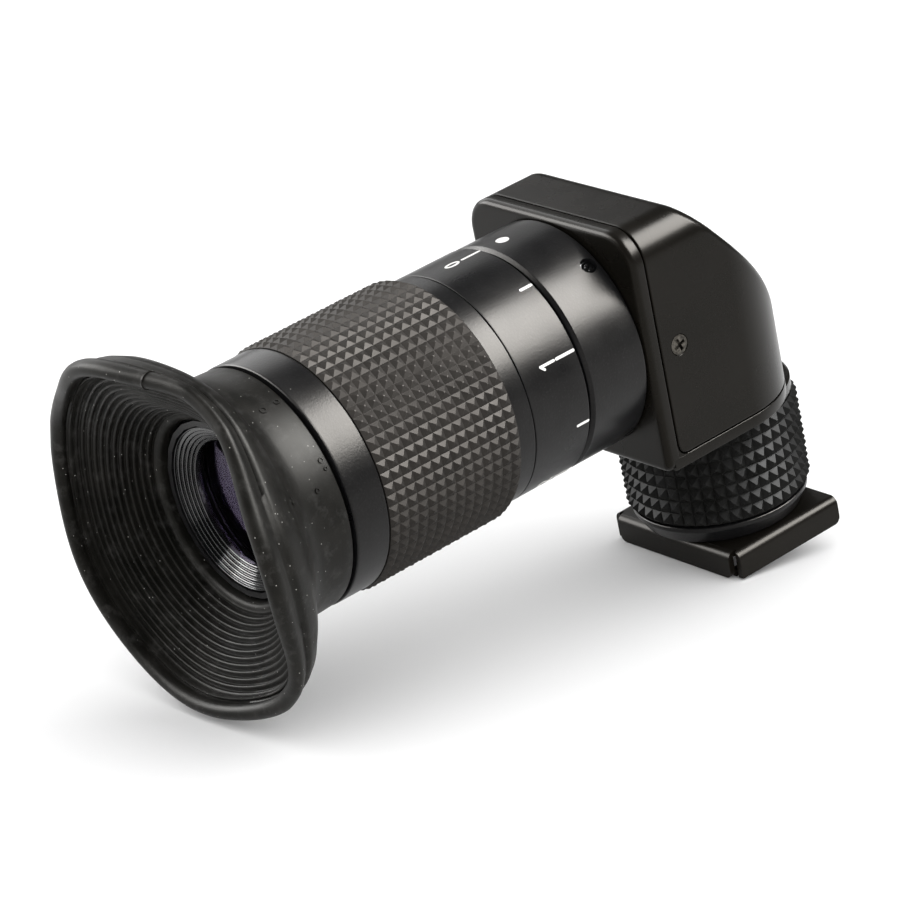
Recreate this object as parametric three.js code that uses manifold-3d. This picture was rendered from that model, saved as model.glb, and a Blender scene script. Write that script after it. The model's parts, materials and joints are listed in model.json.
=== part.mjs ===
// Right-angle finder for a camera eyepiece: a slide-on shoe, a swivelling prism housing and a
// focusing eyepiece barrel with a soft eyecup.
// Millimetres, +Z up along the swivel axis. The origin is the centre of the shoe's open underside.
// The barrel points along -Y, and +X is on the right of someone who looks into the eyepiece.
import * as THREE from "three";
import { mergeVertices } from "three/addons/utils/BufferGeometryUtils.js";
import Module from "manifold-3d";

const wasm = await Module();
wasm.setup();

// ---------------------------------------------------------------- driving dimensions

const GAP = 0.3; // between pieces that touch or run on each other
const SEAM = 0.2; // between the two casing halves
const SIDES = 40; // facets of the large visible rings
const FEW_SIDES = 24; // facets of rings inside the barrel
const SCREW_SIDES = 12;

// shoe
const SHOE_HALF_WIDTH = 12.5;
const SHOE_FRONT_Y = -9.65;
const SHOE_REAR_Y = 9.75;
const SHOE_HEIGHT = 3.86;
const SHEET = 0.9;
const BEND_RADIUS = 1.1;
const RAIL_LIP_WIDTH = 1.5;
const CORNER_RELIEF = 0.5;
const LIGHT_HOLE_RADIUS = 7.9;
const SHOE_SCREW_CIRCLE = 9.4;

// swivel
const SPINDLE_BORE = 6.6;
const SPINDLE_RADIUS = 7.6;
const SPINDLE_TOP_Z = 20.9;
const SPINDLE_HEAD_RADIUS = 8.9;
const SPINDLE_HEAD_Z = 19.4;
const SKIRT_BOTTOM_Z = 4;
const SKIRT_TOP_Z = 6.7;
const SKIRT_BOTTOM_RADIUS = 10.8;
const SKIRT_TOP_RADIUS = 12.1;
const LOCK_RING_RADIUS = 12.75;
const LOCK_RING_Z = [7.05, 20];
const NECK_RADIUS = 10.65;
const NECK_BORE = 9.15;
const NECK_ROOF_Z = 21.2;
const CLICK_Y = -8.1;
const COLLAR_RADIUS = 12.1;
const COLLAR_STEP_RADIUS = 8; // under the cover the collar runs up into the floor

// prism housing
const AXIS_Z = 39.3; // height of the barrel axis
const HOUSING_HALF_WIDTH = 16.2;
const HOUSING_TOP_Z = 55.8;
const HOUSING_BOTTOM_Z = 22.15;
const RAIL_TOP_Z = 23.75;
const FRAME_FRONT_Y = -20.7;
const FRAME_PLATE = 2.1;
const BACK_Y = 8.1;
const BACK_RADIUS = 13; // upright corners at the back
const TOP_RADIUS = 4.7; // long edges at the top
const SLOPE_START_Y = -10.3;
const SLOPE_DEGREES = 49.5;
const SLOPE_BACK_RADIUS = 6.5;
const FRONT_CORNER_RADIUS = 4.7;
const FOOT_CORNER_RADIUS = 1.2;
const COVER_WALL = 1.2;
const FLOOR_HOLE_RADIUS = 6.3;
const BARREL_HOLE_RADIUS = 12.4;
const SPIGOT_RADIUS = 14.05;
const SPIGOT_FRONT_Y = -26.7;
const COVER_SCREW_Y = -15.3;
const COVER_SCREW_Z = 38.6;
const COVER_SCREW_RADIUS = 1.45;

// prism
const PRISM_HALF = 5.8;
const PRISM_HALF_WIDTH = 6.2;
const ROOF_OUTSET = 1; // the roof ridge beyond the crossing of the two optical axes
const SEAT_LEG_Y = [-7.6, -3];
const SEAT_FOOT = [13.2, -5.3]; // its screw, to the right and to the left

// barrel, by radius and by Y
const FIXED_RADIUS = 15.93;
const FIXED_Y = [-30.36, -21.05];
const TAIL_RADIUS = 13.9;
const TAIL_BORE = 12.9;
const TAIL_FRONT_Y = -45;
const SCALE_RADIUS = 16;
const SCALE_Y = [-40.3, -31.18];
const SHANK_RADIUS = 15;
const SLEEVE_BORE = 14.15;
const SLEEVE_REAR_Y = -31.6;
const GRIP_RADIUS = 17.03;
const GRIP_Y = [-65.05, -43.5];
const BAND_RADIUS = 16.6;
const BAND_FRONT_Y = -70.35;
const TUBE_RADIUS = 12.6;
const TUBE_REAR_Y = -28;
const TUBE_BORE = 11.6;
const NOSE_RADIUS = 13.9;
const NOSE_FRONT_Y = -77.3;
const SET_SCREW_Y = -22.6;
const SET_SCREW_DEGREES = [39, 159, 279];
const GUIDE_SCREW_Y = -29;

// eyecup
const CUP_BASE_RADIUS = 16.5;
const CUP_REAR_Y = -70.95;
const CUP_FLOOR_Y = -77.9;
const CUP_FLOOR_RADIUS = 12.5;
const CUP_RIM_RADIUS = 24.7;
const CUP_RIM_Y = -86.6;
const BEAD_RADIUS = 1.1;

// ---------------------------------------------------------------- materials

const finish = (color, roughness, metalness) =>
  new THREE.MeshStandardMaterial({ color, roughness, metalness });
const satinBlack = finish(0x17181a, 0.38, 0.7);
const paintedBlack = finish(0x121110, 0.28, 0.2);
const sheetBlack = finish(0x161514, 0.32, 0.5);
const gripRubber = finish(0x1d1e1f, 0.75, 0);
const softRubber = finish(0x141414, 0.85, 0);
const blackenedSteel = finish(0x1a1a1c, 0.35, 0.9);
const brightSteel = finish(0x9a9a9c, 0.3, 1);
const glass = finish(0x8d8aa8, 0.05, 0);

// ---------------------------------------------------------------- solids

// A closed geometry as a solid with its faces pointing out.
function solidOf(geometry) {
  const plain = geometry.clone();
  plain.deleteAttribute("normal");
  plain.deleteAttribute("uv");
  const merged = mergeVertices(plain, 1e-4);
  const triangles = [];
  const index = merged.index.array;
  for (let i = 0; i < index.length; i += 3) {
    const [a, b, c] = index.slice(i, i + 3);
    if (a !== b && b !== c && c !== a) triangles.push([a, b, c]);
  }
  const build = (list) =>
    new wasm.Manifold(
      new wasm.Mesh({
        numProp: 3,
        vertProperties: new Float32Array(merged.attributes.position.array),
        triVerts: new Uint32Array(list.flat()),
      }),
    );
  const solid = build(triangles);
  return solid.volume() > 0 ? solid : build(triangles.map(([a, b, c]) => [a, c, b]));
}

function meshOf(name, solid, material) {
  const made = solid.getMesh();
  const geometry = new THREE.BufferGeometry();
  const position = new Float32Array(made.numVert * 3);
  for (let i = 0; i < made.numVert; i++) {
    const start = i * made.numProp;
    position.set(made.vertProperties.subarray(start, start + 3), i * 3);
  }
  geometry.setAttribute("position", new THREE.BufferAttribute(position, 3));
  geometry.setIndex(new THREE.BufferAttribute(made.triVerts, 1));
  const flat = geometry.toNonIndexed();
  flat.computeVertexNormals();
  const mesh = new THREE.Mesh(flat, material);
  mesh.name = name;
  return mesh;
}

const joined = (solids) => solids.reduce((a, b) => a.add(b));
const radians = THREE.MathUtils.degToRad;
const points = (pairs) => pairs.map(([x, y]) => new THREE.Vector2(x, y));

// A closed outline of [radius, Y] pairs turned about the barrel axis.
function turned(outline, sides = SIDES) {
  const geometry = new THREE.LatheGeometry(points([...outline, outline[0]]), sides);
  return solidOf(geometry.translate(0, 0, AXIS_Z));
}

// A lens or disc: an outline of [radius, Y] pairs that starts and ends on the barrel axis.
function turnedDisc(outline, sides = FEW_SIDES) {
  const geometry = new THREE.LatheGeometry(points(outline), sides);
  return solidOf(geometry.translate(0, 0, AXIS_Z));
}

// A closed outline of [radius, Z] pairs turned about the swivel axis.
function upright(outline, sides = SIDES) {
  const geometry = new THREE.LatheGeometry(points([...outline, outline[0]]), sides);
  return solidOf(geometry.rotateX(Math.PI / 2));
}

function uprightDisc(outline, sides = FEW_SIDES) {
  const geometry = new THREE.LatheGeometry(points(outline), sides);
  return solidOf(geometry.rotateX(Math.PI / 2));
}

const tube = (inner, outer, from, to) => [
  [inner, from],
  [outer, from],
  [outer, to],
  [inner, to],
];

function block(x, y, z) {
  const geometry = new THREE.BoxGeometry(x[1] - x[0], y[1] - y[0], z[1] - z[0]);
  geometry.translate((x[0] + x[1]) / 2, (y[0] + y[1]) / 2, (z[0] + z[1]) / 2);
  return solidOf(geometry);
}

const shapeOf = (pairs) => new THREE.Shape(points(pairs));

function extruded(shape, depth, options = {}) {
  return new THREE.ExtrudeGeometry(shape, {
    depth,
    bevelEnabled: false,
    curveSegments: 6,
    ...options,
  });
}

// A plan outline in XY, raised from the first Z to the second.
const raised = (shape, z) => solidOf(extruded(shape, z[1] - z[0]).translate(0, 0, z[0]));

// A side outline of [Y, Z] pairs, carried across from the first X to the second.
function across(shape, x) {
  const geometry = extruded(shape, x[1] - x[0]);
  geometry.applyMatrix4(
    new THREE.Matrix4().makeBasis(
      new THREE.Vector3(0, 1, 0),
      new THREE.Vector3(0, 0, 1),
      new THREE.Vector3(1, 0, 0),
    ),
  );
  return solidOf(geometry.translate(x[0], 0, 0));
}

// A front outline of [X, Z] pairs, carried from the first Y to the second.
function along(shape, y, options) {
  const geometry = extruded(shape, y[1] - y[0], options).rotateX(Math.PI / 2);
  return solidOf(geometry.translate(0, y[1], 0));
}

// A round rod from one point to another.
function rod(from, to, radius, sides = SCREW_SIDES, endRadius = radius) {
  const a = new THREE.Vector3(...from);
  const b = new THREE.Vector3(...to);
  const geometry = new THREE.CylinderGeometry(endRadius, radius, a.distanceTo(b), sides);
  const turn = new THREE.Quaternion().setFromUnitVectors(
    new THREE.Vector3(0, 1, 0),
    b.clone().sub(a).normalize(),
  );
  const middle = a.clone().add(b).multiplyScalar(0.5);
  return solidOf(geometry.applyQuaternion(turn).translate(middle.x, middle.y, middle.z));
}

// Arc points [x, y] about a centre, degrees counted anticlockwise from +x.
function arc(centreX, centreY, radius, fromDegrees, toDegrees, steps) {
  const list = [];
  for (let i = 0; i <= steps; i++) {
    const a = radians(fromDegrees + ((toDegrees - fromDegrees) * i) / steps);
    list.push([centreX + radius * Math.cos(a), centreY + radius * Math.sin(a)]);
  }
  return list;
}

// ---------------------------------------------------------------- shoe

// Half of the bent sheet's section, from the middle of the top to the rail lip.
function shoeSection(side) {
  const x = (value) => side * value;
  const outerBend = arc(
    SHOE_HALF_WIDTH - BEND_RADIUS,
    SHOE_HEIGHT - BEND_RADIUS,
    BEND_RADIUS,
    90,
    0,
    4,
  );
  const half = [
    [-0.1, SHOE_HEIGHT],
    ...outerBend,
    [SHOE_HALF_WIDTH, 0],
    [SHOE_HALF_WIDTH - SHEET - RAIL_LIP_WIDTH, 0],
    [SHOE_HALF_WIDTH - SHEET - RAIL_LIP_WIDTH, SHEET],
    [SHOE_HALF_WIDTH - SHEET, SHEET],
    [SHOE_HALF_WIDTH - SHEET, SHOE_HEIGHT - SHEET],
    [-0.1, SHOE_HEIGHT - SHEET],
  ];
  return shapeOf(half.map(([px, pz]) => [x(px), pz]));
}

function makeShoePlate() {
  const frontEnd = SHOE_FRONT_Y + SHEET;
  const halves = [1, -1].map((side) =>
    along(shoeSection(side), [frontEnd, SHOE_REAR_Y]),
  );
  const flangeHalf = SHOE_HALF_WIDTH - SHEET - CORNER_RELIEF;
  const frontBend = arc(
    SHOE_FRONT_Y + BEND_RADIUS,
    SHOE_HEIGHT - BEND_RADIUS,
    BEND_RADIUS,
    180,
    90,
    4,
  );
  const front = across(
    shapeOf([
      [SHOE_FRONT_Y, 0],
      [SHOE_FRONT_Y + SHEET, 0],
      [SHOE_FRONT_Y + SHEET, SHOE_HEIGHT - SHEET],
      [SHOE_FRONT_Y + 2 * SHEET, SHOE_HEIGHT - SHEET],
      [SHOE_FRONT_Y + 2 * SHEET, SHOE_HEIGHT],
      ...frontBend.reverse(),
    ]),
    [-flangeHalf, flangeHalf],
  );
  let plate = joined([...halves, front]);
  plate = plate.subtract(rod([0, 0, 1], [0, 0, 5], LIGHT_HOLE_RADIUS, FEW_SIDES));
  for (const side of [1, -1]) {
    const reliefX = [flangeHalf, flangeHalf + CORNER_RELIEF].map((v) => side * v);
    reliefX.sort((a, b) => a - b);
    plate = plate.subtract(
      block(reliefX, [frontEnd - 1, frontEnd + CORNER_RELIEF], [-1, SHOE_HEIGHT + 1]),
    );
  }
  for (const [x, y] of shoeScrewPlaces()) {
    plate = plate.subtract(rod([x, y, 2], [x, y, 5], 0.85));
    plate = plate.subtract(
      rod([x, y, SHOE_HEIGHT - SHEET - 0.1], [x, y, SHOE_HEIGHT - 0.25], 1.65, 12, 0.85),
    );
  }
  return plate;
}

const shoeScrewPlaces = () =>
  [45, 135, 225, 315].map((degrees) => [
    SHOE_SCREW_CIRCLE * Math.cos(radians(degrees)),
    SHOE_SCREW_CIRCLE * Math.sin(radians(degrees)),
  ]);

// Countersunk screw pushed up through the plate into the skirt.
function makeShoeScrew([x, y]) {
  const headZ = SHOE_HEIGHT - SHEET + 0.05;
  const head = rod([x, y, headZ], [x, y, headZ + 0.5], 1.25, SCREW_SIDES, 0.6);
  return head.add(rod([x, y, headZ + 0.4], [x, y, 5.6], 0.6));
}

// Conical collar on the plate, bored for the spindle.
function makeBaseSkirt() {
  let skirt = upright([
    [SPINDLE_RADIUS + 0.15, SKIRT_BOTTOM_Z],
    [SKIRT_BOTTOM_RADIUS, SKIRT_BOTTOM_Z],
    [SKIRT_TOP_RADIUS, SKIRT_TOP_Z - 0.6],
    [SKIRT_TOP_RADIUS, SKIRT_TOP_Z],
    [SPINDLE_RADIUS + 0.15, SKIRT_TOP_Z],
  ]);
  for (const [x, y] of shoeScrewPlaces()) {
    skirt = skirt.subtract(rod([x, y, 3.5], [x, y, 5.9], 0.75));
  }
  return skirt;
}

// Headed tube that the housing turns on; four dimples in its head take the click ball.
function makeSpindle() {
  let spindle = upright(
    [
      [SPINDLE_BORE, 3],
      [SPINDLE_RADIUS, 3],
      [SPINDLE_RADIUS, SPINDLE_HEAD_Z],
      [SPINDLE_HEAD_RADIUS, SPINDLE_HEAD_Z],
      [SPINDLE_HEAD_RADIUS, SPINDLE_TOP_Z],
      [SPINDLE_BORE, SPINDLE_TOP_Z],
    ],
    FEW_SIDES,
  );
  for (const degrees of [0, 90, 180, 270]) {
    const x = CLICK_Y * Math.sin(radians(degrees));
    const y = CLICK_Y * Math.cos(radians(degrees));
    const top = SPINDLE_TOP_Z;
    spindle = spindle.subtract(rod([x, y, top - 0.3], [x, y, top + 0.1], 0.2, 8, 0.6));
  }
  return spindle;
}

// Screwed into the neck from below, it holds the spindle's head.
const makeNeckNut = () =>
  upright(tube(SPINDLE_RADIUS + GAP, NECK_BORE - 0.2, 16.9, SPINDLE_HEAD_Z - GAP), FEW_SIDES);

const makeObjective = () =>
  uprightDisc([
    [0, 4.1],
    [3.4, 4.3],
    [6.35, 4.9],
    [6.35, 6],
    [3.4, 6.7],
    [0, 7],
  ]);

const makeObjectiveRetainer = () => upright(tube(5.4, 6.4, 7.1, 8.6), FEW_SIDES);

const makeLockRing = () => upright(tube(NECK_RADIUS + GAP, LOCK_RING_RADIUS, ...LOCK_RING_Z));

// ---------------------------------------------------------------- housing

// Plan outline of the housing, drawn in by an inset: straight sides, large rounded back corners.
function planShape(frontY, inset) {
  const half = HOUSING_HALF_WIDTH - inset;
  const radius = BACK_RADIUS - inset;
  const centreX = HOUSING_HALF_WIDTH - BACK_RADIUS;
  const centreY = BACK_Y - BACK_RADIUS;
  return shapeOf([
    [-half, frontY],
    [half, frontY],
    ...arc(centreX, centreY, radius, 0, 90, 10),
    ...arc(-centreX, centreY, radius, 90, 180, 10),
  ]);
}

// Front outline: rounded top corners over straight sides.
function frontShape(bottomZ, inset, topRadius, footRadius) {
  const half = HOUSING_HALF_WIDTH - inset;
  const top = HOUSING_TOP_Z - inset;
  const radius = topRadius - inset;
  const foot = Math.max(footRadius, 0.01);
  return shapeOf([
    ...arc(half - foot, bottomZ + foot, foot, -90, 0, 3),
    ...arc(half - radius, top - radius, radius, 0, 90, 6),
    ...arc(-half + radius, top - radius, radius, 90, 180, 6),
    ...arc(-half + foot, bottomZ + foot, foot, 180, 270, 3),
  ]);
}

// Side outline: flat top, slope at the back, a round turn into the upright back.
function sideShape(frontY, bottomZ, inset) {
  const slope = radians(SLOPE_DEGREES);
  const normal = [Math.sin(slope), Math.cos(slope)];
  const backY = BACK_Y - inset;
  const topZ = HOUSING_TOP_Z - inset;
  const radius = SLOPE_BACK_RADIUS - inset;
  const reach = normal[0] * SLOPE_START_Y + normal[1] * HOUSING_TOP_Z - inset;
  const centreY = backY - radius;
  const centreZ = (reach - radius - normal[0] * centreY) / normal[1];
  const startY = (reach - normal[1] * topZ) / normal[0];
  return shapeOf([
    [frontY, bottomZ],
    [backY, bottomZ],
    ...arc(centreY, centreZ, radius, 0, 90 - SLOPE_DEGREES, 5),
    [startY, topZ],
    [frontY, topZ],
  ]);
}

// The casing's outer form, or its inside when drawn in by the wall.
function casing(frontY, bottomZ, inset) {
  const wide = HOUSING_HALF_WIDTH + 5;
  const front = along(frontShape(bottomZ, inset, TOP_RADIUS, 0), [frontY, BACK_Y + 5]);
  const side = across(sideShape(frontY, bottomZ, inset), [-wide, wide]);
  const plan = raised(planShape(frontY, inset), [bottomZ, HOUSING_TOP_Z + 5]);
  return front.intersect(side).intersect(plan);
}

function makeCover() {
  const frontY = FRAME_FRONT_Y + FRAME_PLATE + SEAM;
  const bottomZ = RAIL_TOP_Z + SEAM;
  let cover = casing(frontY, bottomZ, 0).subtract(casing(frontY - 2, bottomZ - 2, COVER_WALL));
  for (const side of [1, -1]) {
    const at = (x) => [side * x, COVER_SCREW_Y, COVER_SCREW_Z];
    cover = cover.subtract(rod(at(14), at(17), 1.1));
    cover = cover.subtract(rod(at(HOUSING_HALF_WIDTH - 0.7), at(17), 1.1, 16, 2.1));
  }
  return cover;
}

function makeCoverScrew(side) {
  const at = (x) => [side * x, COVER_SCREW_Y, COVER_SCREW_Z];
  const head = rod(at(15.45), at(HOUSING_HALF_WIDTH - 0.05), 0.8, 16, COVER_SCREW_RADIUS);
  return head.add(rod(at(12.2), at(15.6), 0.8));
}

function makeFrame() {
  const bevel = { bevelEnabled: true, bevelThickness: 0.45, bevelSize: 0.45, bevelSegments: 2 };
  const plate = along(
    frontShape(HOUSING_BOTTOM_Z + 0.45, 0.45, FRONT_CORNER_RADIUS, FOOT_CORNER_RADIUS),
    [FRAME_FRONT_Y + 0.45, FRAME_FRONT_Y + FRAME_PLATE - 0.45],
    bevel,
  );
  const floor = raised(planShape(FRAME_FRONT_Y + 0.6, 0), [HOUSING_BOTTOM_Z, RAIL_TOP_Z]);
  const collar = uprightDisc(
    [
      [0, 20.3],
      [COLLAR_RADIUS, 20.3],
      [COLLAR_RADIUS, HOUSING_BOTTOM_Z - 0.3],
      [COLLAR_RADIUS - 0.3, HOUSING_BOTTOM_Z],
      [COLLAR_STEP_RADIUS, HOUSING_BOTTOM_Z],
      [COLLAR_STEP_RADIUS, RAIL_TOP_Z],
      [0, RAIL_TOP_Z],
    ],
    SIDES,
  );
  const neck = upright(tube(NECK_BORE, NECK_RADIUS, 7.2, 20.8));
  const clickPost = rod([0, CLICK_Y, 22.6], [0, CLICK_Y, 26.8], 1.9);
  const spigot = turned(tube(BARREL_HOLE_RADIUS, SPIGOT_RADIUS, SPIGOT_FRONT_Y, -19));
  let frame = joined([plate, floor, collar, clickPost]);
  frame = frame.subtract(rod([0, 0, 15], [0, 0, NECK_ROOF_Z], NECK_BORE, FEW_SIDES));
  frame = frame.subtract(rod([0, 0, 15], [0, 0, 30], FLOOR_HOLE_RADIUS, FEW_SIDES));
  frame = frame.subtract(rod([0, CLICK_Y, 20], [0, CLICK_Y, 30], 0.9));
  frame = frame.subtract(
    rod([0, -30, AXIS_Z], [0, -15, AXIS_Z], BARREL_HOLE_RADIUS, SIDES),
  );
  frame = joined([frame, neck, spigot]);
  for (const side of [1, -1]) {
    const x = [side * 11.5, side * 14.6].sort((a, b) => a - b);
    frame = frame.add(block(x, [-19, -12.6], [COVER_SCREW_Z - 2.6, COVER_SCREW_Z + 2.6]));
    const at = (value) => [side * value, COVER_SCREW_Y, COVER_SCREW_Z];
    frame = frame.subtract(rod(at(11), at(15), 1));
    const [footX, footY] = [side * SEAT_FOOT[0], SEAT_FOOT[1]];
    frame = frame.subtract(rod([footX, footY, 22.5], [footX, footY, 25], 0.75));
  }
  return frame;
}

const makeClickBall = () => solidOf(new THREE.SphereGeometry(0.6, 10, 8).translate(0, CLICK_Y, 21.8));

function makeClickSpring() {
  const turns = 4;
  const steps = 7 * turns;
  const route = [];
  for (let i = 0; i <= steps; i++) {
    const a = (2 * Math.PI * turns * i) / steps;
    const x = 0.5 * Math.cos(a);
    const y = CLICK_Y + 0.5 * Math.sin(a);
    route.push(new THREE.Vector3(x, y, 22.75 + (2.4 * i) / steps));
  }
  const wire = new THREE.Shape();
  wire.absarc(0, 0, 0.11, 0, 2 * Math.PI);
  return solidOf(
    new THREE.ExtrudeGeometry(wire, {
      steps,
      curveSegments: 4,
      extrudePath: new THREE.CatmullRomCurve3(route),
    }),
  );
}

const makeClickPlug = () => rod([0, CLICK_Y, 25.6], [0, CLICK_Y, 26.6], 0.75);

// ---------------------------------------------------------------- prism and its seat

function makePrism() {
  const low = AXIS_Z - PRISM_HALF;
  const ridge = AXIS_Z + ROOF_OUTSET * Math.SQRT2; // Y + Z along the ridge
  const backY = PRISM_HALF + 0.3;
  const topZ = AXIS_Z + PRISM_HALF + 0.3;
  const body = across(
    shapeOf([
      [-PRISM_HALF, low],
      [backY, low],
      [backY, ridge - backY],
      [ridge - topZ, topZ],
      [-PRISM_HALF, topZ],
    ]),
    [-PRISM_HALF_WIDTH, PRISM_HALF_WIDTH],
  );
  // a square bar turned onto its edge, with that edge along the ridge
  const bar = new THREE.BoxGeometry(60, 60, 60);
  bar.translate(-30, 0, -30);
  bar.rotateY(radians(-45));
  bar.rotateX(radians(-45));
  const reach = ROOF_OUTSET / Math.SQRT2;
  bar.translate(0, reach, AXIS_Z + reach);
  return body.intersect(solidOf(bar));
}

function makePrismSeat() {
  const low = AXIS_Z - PRISM_HALF - GAP - 1.6;
  const shelfTop = low + 1.6;
  const exitY = -PRISM_HALF - GAP;
  const shelf = block([-8.9, 8.9], [exitY - 1.5, 4.2], [low, shelfTop]);
  const wings = block([-12, 12], SEAT_LEG_Y, [low, shelfTop]);
  const front = block([-8.9, 8.9], [exitY - 1.5, exitY], [low, AXIS_Z + PRISM_HALF]);
  const cheekShape = shapeOf([
    [exitY - 1.5, low],
    [4.2, low],
    [4.2, 35.4],
    [-2.4, 42.6],
    [exitY - 1.5, AXIS_Z + PRISM_HALF],
  ]);
  const parts = [shelf, wings, front];
  for (const side of [1, -1]) {
    const between = (a, b) => [side * a, side * b].sort((p, q) => p - q);
    parts.push(across(cheekShape, between(PRISM_HALF_WIDTH + 1, 8.9)));
    parts.push(block(between(10.9, 12), SEAT_LEG_Y, [24.05, shelfTop]));
    parts.push(block(between(10.9, 14.5), SEAT_LEG_Y, [24.05, 25.1]));
  }
  let seat = joined(parts);
  seat = seat.subtract(rod([0, 0, low - 1], [0, 0, shelfTop + 1], 5.2, FEW_SIDES));
  seat = seat.subtract(rod([0, -10, AXIS_Z], [0, -5, AXIS_Z], 5.2, FEW_SIDES));
  for (const side of [1, -1]) {
    const [x, y] = [side * SEAT_FOOT[0], SEAT_FOOT[1]];
    seat = seat.subtract(rod([x, y, 24], [x, y, 26], 0.8));
  }
  return seat;
}

function makeSeatScrew(side) {
  const [x, y] = [side * SEAT_FOOT[0], SEAT_FOOT[1]];
  const head = rod([x, y, 25.25], [x, y, 25.95], 1.15);
  return head.add(rod([x, y, 22.7], [x, y, 25.35], 0.55));
}

function makePrismPad(side) {
  const x = [side * (PRISM_HALF_WIDTH + 0.25), side * (PRISM_HALF_WIDTH + 0.75)];
  return block(x.sort((a, b) => a - b), [-4.6, 1.4], [34.8, 39.4]);
}

// ---------------------------------------------------------------- fixed barrel

// A point at an angle from the top towards +X, at a distance from the barrel axis.
const around = (degrees, radius, y) => [
  radius * Math.sin(radians(degrees)),
  y,
  AXIS_Z + radius * Math.cos(radians(degrees)),
];

function makeFixedBarrel() {
  let barrel = turned([
    [SPIGOT_RADIUS + GAP, FIXED_Y[1]],
    [FIXED_RADIUS, FIXED_Y[1]],
    [FIXED_RADIUS, FIXED_Y[0]],
    [TAIL_RADIUS, FIXED_Y[0]],
    [TAIL_RADIUS, TAIL_FRONT_Y],
    [TAIL_BORE, TAIL_FRONT_Y],
    [TAIL_BORE, SPIGOT_FRONT_Y - 0.5],
    [SPIGOT_RADIUS + GAP, SPIGOT_FRONT_Y - 0.5],
  ]);
  for (const degrees of SET_SCREW_DEGREES) {
    const hole = rod(around(degrees, 13, SET_SCREW_Y), around(degrees, 18, SET_SCREW_Y), 1.2);
    barrel = barrel.subtract(hole);
  }
  const guideHole = rod(around(180, 12, GUIDE_SCREW_Y), around(180, 17, GUIDE_SCREW_Y), 0.95);
  return barrel.subtract(guideHole);
}

const makeSetScrew = (degrees) =>
  rod(around(degrees, 14.2, SET_SCREW_Y), around(degrees, 15.75, SET_SCREW_Y), 1);

// Keeps the eyepiece tube from turning: it stands in the tube's long slot.
const makeGuideScrew = () =>
  rod(around(180, 12, GUIDE_SCREW_Y), around(180, 15.6, GUIDE_SCREW_Y), 0.8);

// ---------------------------------------------------------------- focusing ring and eyepiece

const makeScaleRing = () => turned(tube(SHANK_RADIUS + 0.15, SCALE_RADIUS, ...SCALE_Y));

function makeFocusSleeve() {
  const flangeY = [BAND_FRONT_Y + 1.15, BAND_FRONT_Y + 4.15];
  const seatY = [GRIP_Y[0] - 0.1, GRIP_Y[1] + 0.1];
  return turned([
    [SLEEVE_BORE, SLEEVE_REAR_Y],
    [SHANK_RADIUS, SLEEVE_REAR_Y],
    [SHANK_RADIUS, SCALE_Y[0] - 0.15],
    [SCALE_RADIUS, SCALE_Y[0] - 0.15],
    [SCALE_RADIUS, seatY[1]],
    [SHANK_RADIUS + 0.6, seatY[1]],
    [SHANK_RADIUS + 0.6, seatY[0]],
    [BAND_RADIUS, seatY[0]],
    [BAND_RADIUS, BAND_FRONT_Y],
    [15.3, BAND_FRONT_Y],
    [15.3, flangeY[0]],
    [TUBE_RADIUS + GAP, flangeY[0]],
    [TUBE_RADIUS + GAP, flangeY[1]],
    [SLEEVE_BORE, flangeY[1]],
  ]);
}

const makeGrip = () => turned(tube(SHANK_RADIUS + 0.85, GRIP_RADIUS, ...GRIP_Y));

const makeSleeveClip = () =>
  turned(tube(TUBE_RADIUS + 0.2, SLEEVE_BORE - 0.4, -65.9, -65), FEW_SIDES);

function makeEyepieceTube() {
  const body = turned(
    [
      [TUBE_BORE, TUBE_REAR_Y],
      [TUBE_RADIUS, TUBE_REAR_Y],
      [TUBE_RADIUS, BAND_FRONT_Y + 0.85],
      [15, BAND_FRONT_Y + 0.85],
      [15, BAND_FRONT_Y - 0.25],
      [NOSE_RADIUS, BAND_FRONT_Y - 0.25],
      [NOSE_RADIUS, -75.6],
      [12.1, -75.6],
      [12.1, NOSE_FRONT_Y],
      [11.35, NOSE_FRONT_Y],
      [11.35, -70.1],
      [10.4, -70.1],
      [10.4, -69.2],
      [TUBE_BORE, -69.2],
    ],
    FEW_SIDES,
  );
  const slot = block([-1.1, 1.1], [GUIDE_SCREW_Y - 2.6, -27], [AXIS_Z - 14, AXIS_Z - 11]);
  return body.subtract(slot);
}

const makeEyeLens = () =>
  turnedDisc([
    [0, -70.4],
    [6, -70.5],
    [11.1, -70.9],
    [11.1, -72.6],
    [8.6, -73.5],
    [4.6, -74.3],
    [0, -74.6],
  ]);

// Screwed in over the eye lens: its mouth widens in fine steps.
function makeLensRing() {
  const steps = [];
  for (let i = 0; i < 4; i++) {
    steps.push([8.8 + i * 0.6, -75.4 - i * 0.42]);
    steps.push([8.8 + i * 0.6, -75.4 - (i + 1) * 0.42]);
  }
  return turned([[11.1, -74.2], [11.1, -77.1], ...steps.reverse(), [9.3, -74.2]], FEW_SIDES);
}

const makeLensSpacer = () => turned(tube(10.5, 11.4, -68.9, -63.5), FEW_SIDES);

const makeFieldLens = () =>
  turnedDisc([
    [0, -63.9],
    [5.8, -63.6],
    [11.3, -63.2],
    [11.3, -61.9],
    [5.8, -60.6],
    [0, -60.2],
  ]);

const makeFieldStop = () => turned(tube(8.5, 11.35, -59.4, -58), FEW_SIDES);

// ---------------------------------------------------------------- eyecup

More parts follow.
